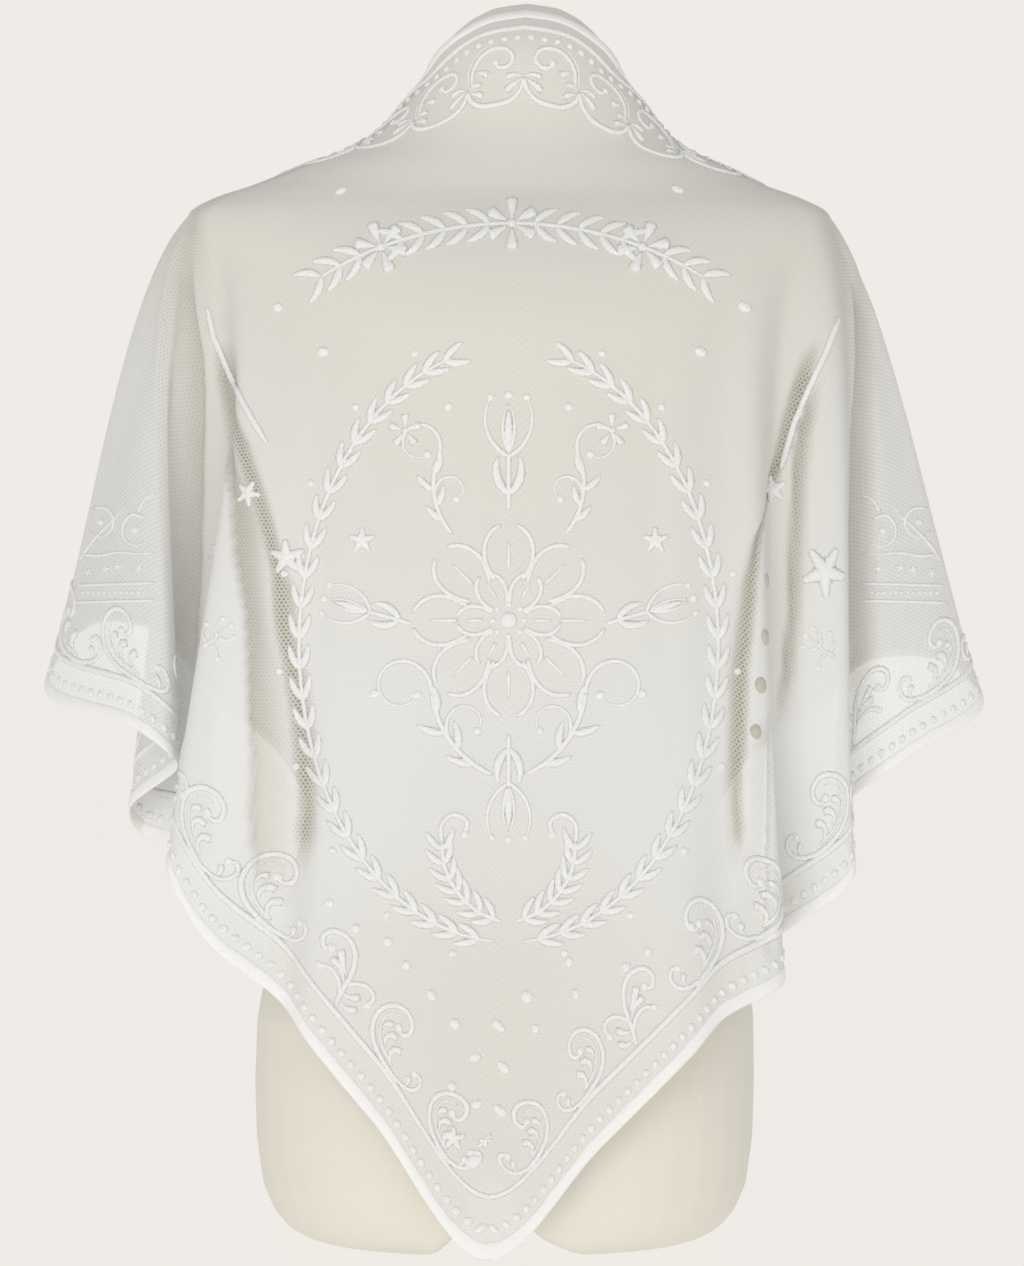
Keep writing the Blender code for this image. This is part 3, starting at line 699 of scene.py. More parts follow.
class NodeDesk:
    """One node tree with its plain surface, a material's or the room's."""

    def __init__(self, name: str, holder: Any = None) -> None:
        """Makes the material and its plain surface.

        Args:
            name: The material's name.
            holder: The room that holds the tree in place of a material.
        """
        self.material = holder or bpy.data.materials.new(name)
        self.material.use_nodes = True
        self.tree = self.material.node_tree
        self.shader = self.tree.nodes["Background" if holder else "Principled BSDF"]

    def node(self, kind: str, settings: dict[str, Any], sockets: dict[Any, Any], out: Any = 0) -> Shade:
        """Adds one node.

        Args:
            kind: The node's type.
            settings: Its own settings, set first.
            sockets: Values or shades for its sockets, by name or number.
            out: Which of its results to give, by name or number.

        Returns:
            The node's result.
        """
        made = self.tree.nodes.new(kind)
        for name, value in settings.items():
            setattr(made, name, value)
        for name, value in sockets.items():
            if isinstance(value, Shade):
                self.tree.links.new(value.socket, made.inputs[name])
            else:
                made.inputs[name].default_value = value
        return Shade(self, made.outputs[out])

    def maths(self, operation: str, *values: Any) -> Shade:
        """Adds a Math node for an operation on its values."""
        return self.node("ShaderNodeMath", {"operation": operation}, dict(enumerate(values)))

    def blend(self, share: Shade, first: Any, second: Any) -> Shade:
        """Mixes two colours.

        Args:
            share: How much of the second, from 0 to 1.
            first: A shade, or three values.
            second: A shade, or three values.

        Returns:
            The mixed colour.
        """
        ends = [end if isinstance(end, Shade) else (*end, 1.0) for end in (first, second)]
        return self.node("ShaderNodeMix", {"data_type": "RGBA"}, {0: share, 6: ends[0], 7: ends[1]}, 2)

    def noted(self, name: str) -> Shade:
        """A value that the mesh keeps at its points."""
        return self.node("ShaderNodeAttribute", {"attribute_name": name}, {}, "Fac")

    def noise(self, place: Shade, scale: float, detail: float = 2.0, roughness: float = 0.5) -> Shade:
        """Adds soft noise.

        Args:
            place: Where it is read.
            scale: How fine it is.
            detail: How many finer layers it has.
            roughness: How strong they are.

        Returns:
            The noise, from 0 to 1.
        """
        sockets = {"Vector": place, "Scale": scale, "Detail": detail, "Roughness": roughness}
        return self.node("ShaderNodeTexNoise", {}, sockets, "Fac")

    def place(self, scale: tuple[float, float, float] = (1, 1, 1)) -> Shade:
        """The object's own coordinates, stretched."""
        origin = self.node("ShaderNodeTexCoord", {}, {}, "Object")
        return self.node("ShaderNodeMapping", {}, {"Vector": origin, "Scale": scale})

    def drawn(self, layer: str) -> tuple[Shade, Shade, Shade]:
        """Reads a UV layer.

        Args:
            layer: The layer's name.

        Returns:
            Its vector, and the vector's two values.
        """
        where = self.node("ShaderNodeUVMap", {"uv_map": layer}, {})
        split = self.node("ShaderNodeSeparateXYZ", {}, {"Vector": where})
        return where, split, Shade(self, split.socket.node.outputs[1])

    def feed(self, **sockets: Any) -> None:
        """Sets or links the surface shader's sockets.

        Args:
            **sockets: Values or shades, by the sockets' names with underscores for spaces.
        """
        for name, value in sockets.items():
            socket = self.shader.inputs[name.replace("_", " ")]
            if isinstance(value, Shade):
                self.tree.links.new(value.socket, socket)
            else:
                socket.default_value = value

    def bump(self, height: Shade, distance: float) -> Shade:
        """Makes relief from a height, as deep as the distance."""
        return self.node("ShaderNodeBump", {}, {"Height": height, "Distance": distance, "Strength": 1.0})


@dataclass(frozen=True)
class NetFinish:
    """Soft hexagonal net of fine twisted thread, more open in its creases, with painted shade there and painted
    lighter where it is sheer.
    """

    pitch: float = 0.0025
    thread: float = 0.40
    soft: float = 0.14
    sheer: tuple = (0.60, 0.74)
    dense: tuple = (0.91, 0.97)
    hollow: tuple = (0.66, 0.98)
    cool: tuple = (0.820, 0.822, 0.812)
    # A lighter tone painted on the sheer net of the wings: painted light.
    light: tuple = (0.885, 0.888, 0.880)
    warm: tuple = (0.770, 0.753, 0.695)
    # deep: the painted shade colour of the net in its creases.
    deep: tuple = (0.560, 0.550, 0.465)
    # Painted shade for the open holes of the creases.
    hole_shade: tuple = (0.290, 0.280, 0.215)
    grain: float = 0.12

    def hexes(self, across: Shade, down: Shade) -> Shade:
        """Finds how far each place lies from the middle of its mesh.

        Args:
            across: The place across, in meshes.
            down: The place down, in meshes.

        Returns:
            The distance, 0.5 at the thread's middle.
        """
        tall = math.sqrt(3)
        best = None
        for shift in (0.0, 0.5):
            a = abs((across - shift).wrap(0.5))
            b = abs((down - shift * tall).wrap(tall / 2))
            far = a.upper(a * 0.5 + b * (tall / 2))
            best = far if best is None else best.lower(far)
        return best

    def make(self) -> bpy.types.Material:
        """Builds the finish.

        Returns:
            The net's material.
        """
        desk = NodeDesk("net")
        where, across, down = desk.drawn("cut")
        speck = desk.noise(where, 520.0, 1.0, 0.7) - 0.5
        far = self.hexes(across * (1 / self.pitch), down * (1 / self.pitch))
        edge = 0.5 - self.thread / 2
        mesh = far.ramp(edge - self.soft, edge + self.soft)
        opened = desk.noted("open").upper(0)
        packed = (desk.noted("open") * -1).upper(0)
        hole, strand = (
            packed * (dense - sheer) + opened * (hollow - sheer) + sheer
            for sheer, dense, hollow in zip(self.sheer, self.dense, self.hollow)
        )
        # Painted light: the sheer net gets the lighter tone, the dense net the cool one.
        tone = desk.blend(packed, self.light, self.cool)
        tone = desk.blend(desk.noted("warm"), tone, self.warm)
        # Painted shade: the net darkens towards the deep colour along its creases.
        tone = desk.blend(desk.noted("shade") + speck * self.grain, tone, self.deep)
        desk.feed(
            Alpha=mesh * (strand - hole) + hole,
            # The open holes in the creases are painted dark: painted shade.
            Base_Color=desk.blend((1 - mesh) * opened, tone, self.hole_shade),
            Roughness=0.85,
            Sheen_Weight=0.15,
            Sheen_Roughness=0.5,
            Specular_IOR_Level=0.2,
        )
        return desk.material


@dataclass(frozen=True)
class StitchFinish:
    """Raised white embroidery thread."""

    name: str
    dull: tuple = (0.885, 0.885, 0.872)
    bright: tuple = (0.975, 0.974, 0.968)
    fuzz: float = 0.0009

    def make(self) -> bpy.types.Material:
        """Builds the finish.

        Returns:
            The thread's material.
        """
        desk = NodeDesk(self.name)
        place = desk.place()
        strands = desk.noise(place, 900.0, 2.0, 0.65)
        tone = desk.noise(place, 160.0, 2.0)
        desk.feed(
            Base_Color=desk.blend((tone + strands) * 0.5, self.dull, self.bright),
            Roughness=0.72,
            Normal=desk.bump(strands, self.fuzz),
            Sheen_Weight=0.25,
            Specular_IOR_Level=0.3,
        )
        return desk.material


@dataclass(frozen=True)
class SatinFinish:
    """Close satin stitches that slant across an edging."""

    name: str
    stitch: float = 0.0012
    slant: float = 0.55
    dull: tuple = (0.90, 0.898, 0.888)
    bright: tuple = (0.96, 0.958, 0.950)

    def make(self) -> bpy.types.Material:
        """Builds the finish.

        Returns:
            The edging's material.
        """
        desk = NodeDesk(self.name)
        where, along, across = desk.drawn("band")
        ragged = desk.noise(where, 420.0, 3.0)
        waves = ((along + across * self.slant) * (1 / self.stitch) + ragged * 0.7).wrap(0.5)
        ridge = 1 - abs(waves) * 2
        desk.feed(
            # The stitch ridges are painted lighter than the grooves between them, a painted shade in the grooves,
            # mixed with random ragged tone.
            Base_Color=desk.blend(ridge * 0.7 + ragged * 0.3, self.dull, self.bright),
            Roughness=0.62,
            Normal=desk.bump(ridge * 0.4 + ragged, 0.00022),
            Sheen_Weight=0.2,
            Specular_IOR_Level=0.3,
        )
        return desk.material


@dataclass(frozen=True)
class FormFinish:
    """Smooth cream casing with the faint upright grain of fine linen."""

    deep: tuple = (0.800, 0.765, 0.675)
    pale: tuple = (0.860, 0.825, 0.745)

    def make(self) -> bpy.types.Material:
        """Builds the finish.

        Returns:
            The form's material.
        """
        desk = NodeDesk("form_casing")
        grain = desk.noise(desk.place((1, 1, 0.08)), 700.0, 3.0, 0.6)
        cloudy = desk.noise(desk.place(), 9.0, 2.0)
        desk.feed(
            Base_Color=desk.blend(grain * 0.45 + cloudy * 0.55, self.deep, self.pale),
            Roughness=grain * 0.12 + 0.55,
            Normal=desk.bump(grain, 0.00025),
            Specular_IOR_Level=0.35,
        )
        return desk.material


@dataclass(frozen=True)
class StageFinish:
    """An even pale ground, partly lit from within so that it shows no horizon."""

    colour: tuple = (0.863, 0.839, 0.799)
    own_light: float = 0.965
    given_light: float = 0.05

    def make(self) -> bpy.types.Material:
        """Builds the finish.

        Returns:
            The ground's material.
        """
        desk = NodeDesk("pale_ground")
        tooth = desk.noise(desk.place(), 90.0, 2.0)
        pale = tuple(c * self.given_light for c in self.colour)
        desk.feed(
            Base_Color=desk.blend(tooth, tuple(c * 0.97 for c in pale), pale),
            Emission_Color=(*self.colour, 1.0),
            Emission_Strength=self.own_light,
            Roughness=0.95,
            Specular_IOR_Level=0.0,
        )
        return desk.material


class Taper(Enum):
    """How a stitched line's width runs along it."""

    EVEN = "even"
    TAIL = "tail"
    LEAF = "leaf"
    DROP = "drop"

    def widths(self, share: np.ndarray) -> np.ndarray:
        """Finds how wide the line is along its length.

        Args:
            share: The shares of the length, from 0 to 1.

        Returns:
            The shares of the full width there.
        """
        if self is Taper.EVEN:
            return np.minimum(1.0, 0.55 + 6 * np.minimum(share, 1 - share))
        if self is Taper.TAIL:
            return np.minimum(1.0, 0.6 + 5 * share) * (1 - 0.62 * share**1.3)
        if self is Taper.LEAF:
            return 0.18 + 0.82 * np.sin(np.pi * share**0.85) ** 0.8
        return 0.25 + 0.75 * np.sin(np.pi * (share * 0.82) ** 1.7) ** 0.9


Stroke = namedtuple("Stroke", "places width taper bulb", defaults=(Taper.DROP, 0.0))

# One scroll of the short edges' border, in millimetres along its cord and inwards from it.
ACANTHUS = (
    Stroke(
        ((0, 0.5), (14, 1), (27, 4.5), (36, 12), (39, 22), (35, 31), (27, 35), (19.5, 32.5), (17, 26.5),
         (20, 22.5), (24, 23.5)),
        0.0040, Taper.EVEN, 0.0054,
    ),
    Stroke(((9, 3.8), (22, 7), (31, 13.5), (34, 22), (31, 28), (26, 30)), 0.0024, Taper.TAIL),
    Stroke(((4, 1), (-4, 2.5), (-9.5, 7), (-10.5, 13), (-6.5, 16.5), (-3, 14.5)), 0.0034, Taper.EVEN, 0.0046),
    Stroke(((11, 4.5), (15.5, 8), (15.5, 12.5), (12, 15)), 0.0054),
    Stroke(((21, 8), (24.5, 12), (23.5, 16.5), (19.5, 18)), 0.0054),
    Stroke(((30, 14), (30.5, 18.5), (27.5, 21.5)), 0.0046),
    Stroke(((-4, 3.2), (-4.5, 7.5), (-1.5, 10)), 0.0042),
)

# The branching scroll that comes after every two others.
PALMETTE = (
    Stroke(
        ((0, 0.5), (3, 6), (5.5, 13), (9, 22), (16, 30), (25, 32.5), (33, 28.5), (34, 22), (29, 18.5), (26, 21.5)),
        0.0040, Taper.EVEN, 0.0052,
    ),
    Stroke(((5.5, 13), (2, 19), (-4, 22.5), (-10, 20.5), (-10.5, 15)), 0.0034, Taper.EVEN, 0.0048),
    Stroke(((3, 7), (10, 12), (18, 13), (23.5, 9)), 0.0034, Taper.EVEN, 0.0046),
    Stroke(((9, 17), (15, 20), (22, 24.5)), 0.0056),
    Stroke(((7, 13.5), (14, 17.5), (21.5, 17.5)), 0.0050),
    Stroke(((3.5, 8.5), (-2, 11), (-4.5, 15)), 0.0050),
    Stroke(((2, 4), (-5, 4.5), (-9, 8.5)), 0.0050),
)

# One scallop of the long edge's border, in millimetres, its cusp to the right.
SHELL = (
    Stroke(
        ((-20, -26), (-17.5, -32.5), (-10.5, -37.5), (0, -39), (10.5, -37.5), (17.5, -32.5), (20, -26)),
        0.0040, Taper.EVEN,
    ),
    Stroke(
        ((-16.5, -23), (-15.5, -14), (-9, -7), (1, -4.5), (9.5, -7), (12.5, -12.5), (9, -17), (3, -17),
         (0.5, -13.5)),
        0.0036, Taper.EVEN, 0.0046,
    ),
    Stroke(((-19, -21.5), (-18, -11), (-10.5, -4), (-1.5, -1.5)), 0.0024, Taper.TAIL),
    Stroke(((20, -25), (14, -22.5), (8, -23.5)), 0.0040),
    Stroke(((19.5, -25.5), (13, -28), (7.5, -31.5)), 0.0054),
    Stroke(((-19, -25), (-14, -23.5), (-10, -25)), 0.0038),
    Stroke(((-18, -28), (-13, -29.5), (-9, -32)), 0.0048),
    Stroke(((-13, -15.5), (-9, -17.5), (-5, -19.5)), 0.0048),
)


@dataclass
class Motif:
    """Stitched lines drawn flat, as lists of places with their half widths."""

    lines: list = field(default_factory=list)
    dots: list = field(default_factory=list)
    step: float = 0.0017
    chain: float = 0.20
    curl_steps: int = 47
    path_steps: int = 10
    star_arm: float = 0.78
    star_knot: float = 0.70
    petal: tuple[float, float, float] = (0.20, 0.75, 0.50)
    petal_knot: float = 0.34

    def line(self, points: np.ndarray, width: float, taper: Taper = Taper.EVEN) -> np.ndarray:
        """Adds a line, resampled to the length of its stitches.

        Args:
            points: The places that the line passes.
            width: Its full width.
            taper: How its width runs.

        Returns:
            The line's places.
        """
        points = np.asarray(points, float)
        along = distances(points)
        count = max(4, int(round(along[-1] / self.step)) + 1)
        even = np.linspace(0, along[-1], count)
        made = np.stack([np.interp(even, along, points[:, k]) for k in range(2)], axis=1)
        half = width / 2 * taper.widths(even / along[-1])
        half[1:-1:2] *= 1 - self.chain
        self.lines.append((made, half))
        return made

    def path(
        self, places: Sequence[Sequence[float]], width: float, taper: Taper = Taper.EVEN, bulb: float = 0.0
    ) -> np.ndarray:
        """Adds a smooth line through a few places.

        Args:
            places: The places, in millimetres.
            width: Its full width, in metres.
            taper: How its width runs.
            bulb: The width of a round knot at its end, or 0.

        Returns:
            The line's places, in metres.
        """
        known = np.asarray(places, float) / 1000
        at = distances(known, 0.5)
        fine = np.linspace(0, at[-1], len(known) * self.path_steps)
        points = np.stack([round_read(fine, at, known[:, k]) for k in range(2)], axis=1)
        if bulb:
            self.dot(points[-1], bulb)
        return self.line(points, width, taper)

    def draw(self, strokes: Sequence[Stroke]) -> "Motif":
        """Adds every stroke of a table.

        Args:
            strokes: The strokes, with their places in millimetres.

        Returns:
            The motif itself.
        """
        for stroke in strokes:
            self.path(*stroke)
        return self

    def curl(
        self,
        start: Sequence[float],
        heading: float,
        length: float,
        turn: float,
        width: float,
        tighten: float = 1.0,
        taper: Taper = Taper.EVEN,
        bulb: float = 0.0,
    ) -> np.ndarray:
        """Adds a line that bends steadily or ever more tightly.

        Args:
            start: Where it starts.
            heading: Its first direction, in degrees.
            length: Its length.
            turn: How far it turns in all, in degrees, positive to the left.
            width: Its full width.
            tighten: Above 1 it bends most at its end.
            taper: How its width runs.
            bulb: The width of a round knot at its end, or 0.

        Returns:
            The line's places.
        """
        share = np.linspace(0, 1, self.curl_steps + 1)
        angle = np.radians(heading + turn * share**tighten)
        steps = np.stack([np.cos(angle), np.sin(angle)], axis=1)[:-1] * length / self.curl_steps
        points = np.asarray(start, float) + np.concatenate([[[0, 0]], np.cumsum(steps, axis=0)])
        if bulb:
            self.dot(points[-1], bulb)
        return self.line(points, width, taper)

    def dot(self, place: Sequence[float], width: float, stretch: float = 1.0, turn: float = 0.0) -> None:
        """Adds a round padded dot, or an oval one when it is stretched."""
        self.dots.append((float(place[0]), float(place[1]), width / 2, stretch, turn))

    def star(self, place: Sequence[float], size: float, points: int = 5, turn: float = 90.0) -> None:
        """Adds a star of short tapered stitches round a knot.

        Args:
            place: Its middle.
            size: The length of its arms.
            points: How many arms it has.
            turn: The direction of the first, in degrees.
        """
        for k in range(points):
            self.curl(place, turn + k * 360 / points, size, 0, size * self.star_arm, taper=Taper.TAIL)
        self.dot(place, size * self.star_knot)

    def blossom(self, place: Sequence[float], size: float, petals: int = 5, turn: float = 90.0) -> None:
        """Adds a flower of padded petals round a knot.

        Args:
            place: Its middle.
            size: Its outer radius.
            petals: How many petals it has.
            turn: The direction of the first, in degrees.
        """
        inner, length, width = (size * share for share in self.petal)
        for k in range(petals):
            angle = turn + k * 360 / petals
            self.curl(np.asarray(place) + way_at(angle) * inner, angle, length, 0, width, taper=Taper.DROP)
        self.dot(place, size * self.petal_knot)

    def leaves(
        self, place: Sequence[float], heading: float, lean: float, length: float, width: float, bend: float
    ) -> None:
        """Adds a pair of leaves that part from one place.

        Args:
            place: Where they start.
            heading: The stem's direction, in degrees.
            lean: How far each turns away from it.
            length: Their length.
            width: Their full width.
            bend: The share of the lean that they bend back.
        """
        for side in (lean, -lean):
            self.curl(place, heading + side, length, -side * bend, width, taper=Taper.LEAF)

    def put(
        self, other: "Motif", origin: Sequence[float], turn: float = 0.0, flip: bool = False, size: float = 1.0
    ) -> None:
        """Adds a copy of another motif.

        Args:
            other: The motif to copy.
            origin: Where its own origin goes.
            turn: How far it is turned, in degrees.
            flip: Whether it is mirrored across its own upright first.
            size: How much larger it is made.
        """
        cosine, sine = way_at(turn)
        spin = np.array([[cosine, sine], [-sine, cosine]]) * size
        mirror = np.array([-1.0 if flip else 1.0, 1.0])
        grown = (1 + size) / 2
        for points, half in other.lines:
            self.lines.append((np.asarray(origin) + (points * mirror) @ spin, half * grown))
        for x, y, radius, stretch, tilt in other.dots:
            place = np.asarray(origin) + (np.array([x, y]) * mirror) @ spin
            tilt = (180 - tilt if flip else tilt) + turn
            self.dots.append((*place, radius * grown, stretch, tilt))


def show(name: str, data: Any) -> bpy.types.Object:
    """Puts a mesh, curve, camera or lamp into the scene."""
    made = bpy.data.objects.new(name, data)
    bpy.context.scene.collection.objects.link(made)
    return made


def mesh_of(made: bmesh.types.BMesh, name: str) -> bpy.types.Mesh:
    """Turns worked faces into a mesh and frees them."""
    mesh = bpy.data.meshes.new(name)
    made.to_mesh(mesh)
    made.free()
    return mesh


def unit_grid(columns: int, rows: int) -> tuple[bmesh.types.BMesh, np.ndarray, np.ndarray]:
    """Makes a flat grid that is then bent into shape.

    Args:
        columns: How many faces it has across.
        rows: How many faces it has upwards.

    Returns:
        The grid, with each point's share of the way across and of the way up.
    """
    made = bmesh.new()
    bmesh.ops.create_grid(made, x_segments=columns, y_segments=rows, size=0.5)
    made.verts.index_update()
    places = np.array([vert.co[:2] for vert in made.verts]) + 0.5
    return made, places[:, 0], places[:, 1]


def bend_grid(made: bmesh.types.BMesh, points: np.ndarray, name: str, flat: np.ndarray) -> None:
    """Moves a flat grid's points into place and notes where they lie when drawn flat.

    Args:
        made: The grid.
        points: Where each of its points goes.
        name: The UV layer that keeps the flat places.
        flat: The flat place of each point.
    """
    layer = made.loops.layers.uv.new(name)
    for vert, spot in zip(made.verts, points):
        vert.co = spot
    for face in made.faces:
        for loop in face.loops:
            loop[layer].uv = flat[loop.vert.index]
        face.smooth = True


@dataclass
class Needle:
    """Turns drawn motifs into padded stitches on the worn cloth."""

    height_share: float = 0.50
    lift: float = 0.00025
    line_sides: int = 1
    dot_sides: int = 3
    dot_steps: int = 7
    dot_end: float = 0.12

    def dot_line(self, dot: tuple) -> tuple[np.ndarray, np.ndarray]:
        """Draws a dot as a short line whose half widths make it round.

        Args:
            dot: Its place, radius, stretch and turn.

        Returns:
            The line's places and its half widths.
        """
        x, y, radius, stretch, turn = dot
        angle = np.linspace(self.dot_end, math.pi - self.dot_end, self.dot_steps)
        points = np.array([x, y]) - np.cos(angle)[:, None] * way_at(turn) * radius * stretch
        return points, radius * np.sin(angle)

    def rope(self, lines: Sequence[tuple], sides: int) -> bpy.types.Mesh:
        """Makes round cords of lines drawn flat.

        Args:
            lines: Each line's places with its half widths.
            sides: How finely each cord is rounded.

        Returns:
            The cords' mesh.
        """
        curve = bpy.data.curves.new("stitches", "CURVE")
        curve.dimensions = "3D"
        curve.bevel_depth = 1.0
        curve.bevel_resolution = sides
        curve.use_fill_caps = True
        for points, half in lines:
            spline = curve.splines.new("POLY")
            spline.points.add(len(points) - 1)
            flat = np.column_stack([points, np.zeros(len(points)), np.ones(len(points))])
            spline.points.foreach_set("co", flat.ravel())
            spline.points.foreach_set("radius", half)
        holder = show("stitches", curve)
        graph = bpy.context.evaluated_depsgraph_get()
        mesh = bpy.data.meshes.new_from_object(holder.evaluated_get(graph))
        bpy.data.objects.remove(holder)
        bpy.data.curves.remove(curve)
        return mesh

    def work(self, motif: Motif, name: str, seat: Callable[[np.ndarray], np.ndarray]) -> bpy.types.Mesh:
        """Makes one mesh of all the motif's lines and dots.

        Args:
            motif: What to stitch.
            name: The mesh's name.
            seat: Lays drawn points on the cloth.

        Returns:
            The stitches' mesh, in place.
        """
        made = bmesh.new()
        rounds = [self.dot_line(dot) for dot in motif.dots]
        for lines, sides in ((motif.lines, self.line_sides), (rounds, self.dot_sides)):
            if lines:
                part = self.rope(lines, sides)
                made.from_mesh(part)
                bpy.data.meshes.remove(part)
        bmesh.ops.remove_doubles(made, verts=made.verts[:], dist=0.00001)
        mesh = mesh_of(made, name)
        points = np.empty(len(mesh.vertices) * 3)
        mesh.vertices.foreach_get("co", points)
        points = points.reshape(-1, 3)
        points[:, 2] = points[:, 2] * self.height_share + self.lift
        mesh.vertices.foreach_set("co", seat(points).ravel())
        mesh.shade_smooth()
        mesh.update()
        return mesh


def add_piece(mesh: bpy.types.Mesh, finish: bpy.types.Material) -> bpy.types.Object:
    """Adds a finished mesh to the scene, riding on the object's body.

    Args:
        mesh: The mesh, in place.
        finish: Its material.

    Returns:
        The new object.
    """
    made = show(mesh.name, mesh)
    mesh.materials.clear()
    mesh.materials.append(finish)
    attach(made, BODY)
    LOG.info("%s: %d faces", made.name, len(mesh.polygons))
    return made


@dataclass
class NetPanel:
    """The net ground: one thin sheet over the worn surface."""

    drape: Drape

    def build(self) -> bpy.types.Object:
        """Builds the sheet.

        Returns:
            The sheet, with its flat cut as a UV layer.
        """
        drape = self.drape
        made, across, up = unit_grid(drape.columns, drape.rows)
        column, row = across * drape.columns, (1 - up) * drape.rows
        share = drape.read(drape.shares[..., None], column, row)[:, 0]
        bend_grid(made, drape.settle(column, row, np.zeros(len(row))), "cut", drape.flat_of(share, 1 - up))
        mesh = mesh_of(made, "net")
        for name, table in (("shade", drape.shade), ("open", drape.open), ("warm", drape.warm)):
            noted = drape.read(table[..., None], column, row)[:, 0]
            mesh.attributes.new(name, "FLOAT", "POINT").data.foreach_set("value", noted.astype(np.float32))
        sheet = add_piece(mesh, NetFinish().make())
        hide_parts("net_panel")
        return sheet


@dataclass
class Edging:
    """A dense satin-stitched band along one edge of the cut."""

    drape: Drape
    name: str
    start: Sequence[float]
    end: Sequence[float]
    width: float = 0.0078
    thickness: float = 0.0024
    step: float = 0.0022
    across: int = 8
    uneven: float = 0.09
    waves: tuple[float, float, float] = (0.0031, 0.0053, 0.0117)

    def build(self, finish: bpy.types.Material) -> bpy.types.Object:
        """Builds the band as a flattened tube along its edge.

        Args:
            finish: The satin stitch's material.

        Returns:
            The band.
        """
        start, end = np.asarray(self.start, float), np.asarray(self.end, float)
        way = end - start
        length = float(np.linalg.norm(way))
        way /= length
        inward = np.array([-way[1], way[0]])
        made, along, around = unit_grid(int(length / self.step), self.across * 2)
        along, around = along * length, around * 2 * math.pi
        half = self.width / 2
        closing = np.clip(np.minimum(along, length - along) / half, 0, 1) ** 0.5
        ripple = sum(np.sin(along / wave + phase) for phase, wave in enumerate(self.waves)) / len(self.waves)
        bulge = closing * (1 + self.uneven * ripple * np.abs(np.cos(around)))
        over = half - np.cos(around) * half * bulge
        lift = np.sin(around) * self.thickness / 2 * np.maximum(closing, 0.02)
        flat = start + along[:, None] * way + over[:, None] * inward
        settled = self.drape.lay(np.column_stack([flat, lift]))
        bend_grid(made, settled, "band", np.column_stack([along, over]))
        bmesh.ops.remove_doubles(made, verts=made.verts[:], dist=0.00002)
        bmesh.ops.recalc_face_normals(made, faces=made.faces[:])
        mesh = mesh_of(made, self.name)
        return add_piece(mesh, finish)


@dataclass
class Border:
    """The cords, dots and scrolls along the edges of the cut."""

    drape: Drape
    cord_inset: float = 0.027
    cord_width: float = 0.0046
    neck_cord_inset: float = 0.0165
    dot_inset: float = 0.0130
    neck_dot_inset: float = 0.0235
    dot_pitch: float = 0.0086
    dot_width: float = 0.0052
    scroll_pitch: float = 0.0545
    shell_pitch: float = 0.0400

    def corners(self, inset: float) -> tuple[np.ndarray, np.ndarray, np.ndarray]:
        """Finds the flat triangle's corners, moved in from its edges.

        Args:
            inset: How far they are moved in from the short edges.

        Returns:
            The left, the lowest and the right corner.
        """
        length = math.hypot(self.drape.half_width, self.drape.drop)
        sine, cosine = self.drape.drop / length, self.drape.half_width / length
        reach = self.drape.half_width - (inset + self.neck_cord_inset * cosine) / sine
        low = -self.drape.drop + inset / cosine
        top = -self.neck_cord_inset
        return np.array([-reach, top]), np.array([0.0, low]), np.array([reach, top])

    def run(self, start: np.ndarray, end: np.ndarray, pitch: float) -> Iterator[tuple]:
        """Finds even places along a line, clear of its ends.

        Args:
            start: The line's start.
            end: Its end.
            pitch: About how far apart the places are.

        Yields:
            Each place, the line's heading in degrees, and the place's number.
        """
        way = end - start
        length = float(np.linalg.norm(way))
        count = max(1, int(length / pitch))
        for k in range(count):
            yield start + way * (k + 0.5) / count, math.degrees(math.atan2(way[1], way[0])), k

    def cords(self) -> Motif:
        """Draws the continuous cords inside all three edges.

        Returns:
            The design, in the flat cloth's own metres.
        """
        made = Motif()
        left, low, right = self.corners(self.cord_inset)
        for start, end in ((left, low), (low, right), (left, right)):
            made.line(np.array([start, end]), self.cord_width)
        return made

    def dots(self) -> Motif:
        """Draws the row of dots beside every edge.

        Returns:
            The design, in the flat cloth's own metres.
        """
        made = Motif()
        left, low, right = self.corners(self.dot_inset)
        for start, end in ((left, low), (low, right)):
            for place, _, _ in self.run(start, end, self.dot_pitch):
                made.dot(place, self.dot_width)
        left, _, right = self.corners(self.cord_inset)
        shift = np.array([0.0, self.neck_cord_inset - self.neck_dot_inset])
        for place, _, _ in self.run(left + shift, right + shift, self.dot_pitch):
            made.dot(place, self.dot_width * 0.85)
        return made

    def scrolls(self) -> Motif:
        """Draws the acanthus scrolls of the two short edges, which lean towards the point.

        Returns:
            The design, in the flat cloth's own metres.
        """
        made = Motif()
        scroll, branch = Motif().draw(ACANTHUS), Motif().draw(PALMETTE)
        left, low, right = self.corners(self.cord_inset + 0.002)
        for start, end, flip in ((low, left, True), (low, right, False)):
            for place, heading, k in self.run(start, end, self.scroll_pitch):
                unit = branch if k % 3 == 2 else scroll
                grown = min(1.12, 0.90 + 0.08 * k)
                made.put(unit, place, heading + (180 if flip else 0), flip, grown)
        return made

    def shells(self) -> Motif:
        """Draws the scallops of the long edge, in mirrored pairs from its middle.

        Returns:
            The design, in the flat cloth's own metres.
        """
        made = Motif()
        unit = Motif().draw(SHELL)
        _, _, right = self.corners(self.cord_inset)
        top = -self.neck_dot_inset - 0.001
        count = int((right[0] - 0.06) / self.shell_pitch)
        for side in (-1, 1):
            for k in range(count):
                place = (side * (k + 0.5) * self.shell_pitch, top)
                made.put(unit, place, 0, side > 0)
        return made


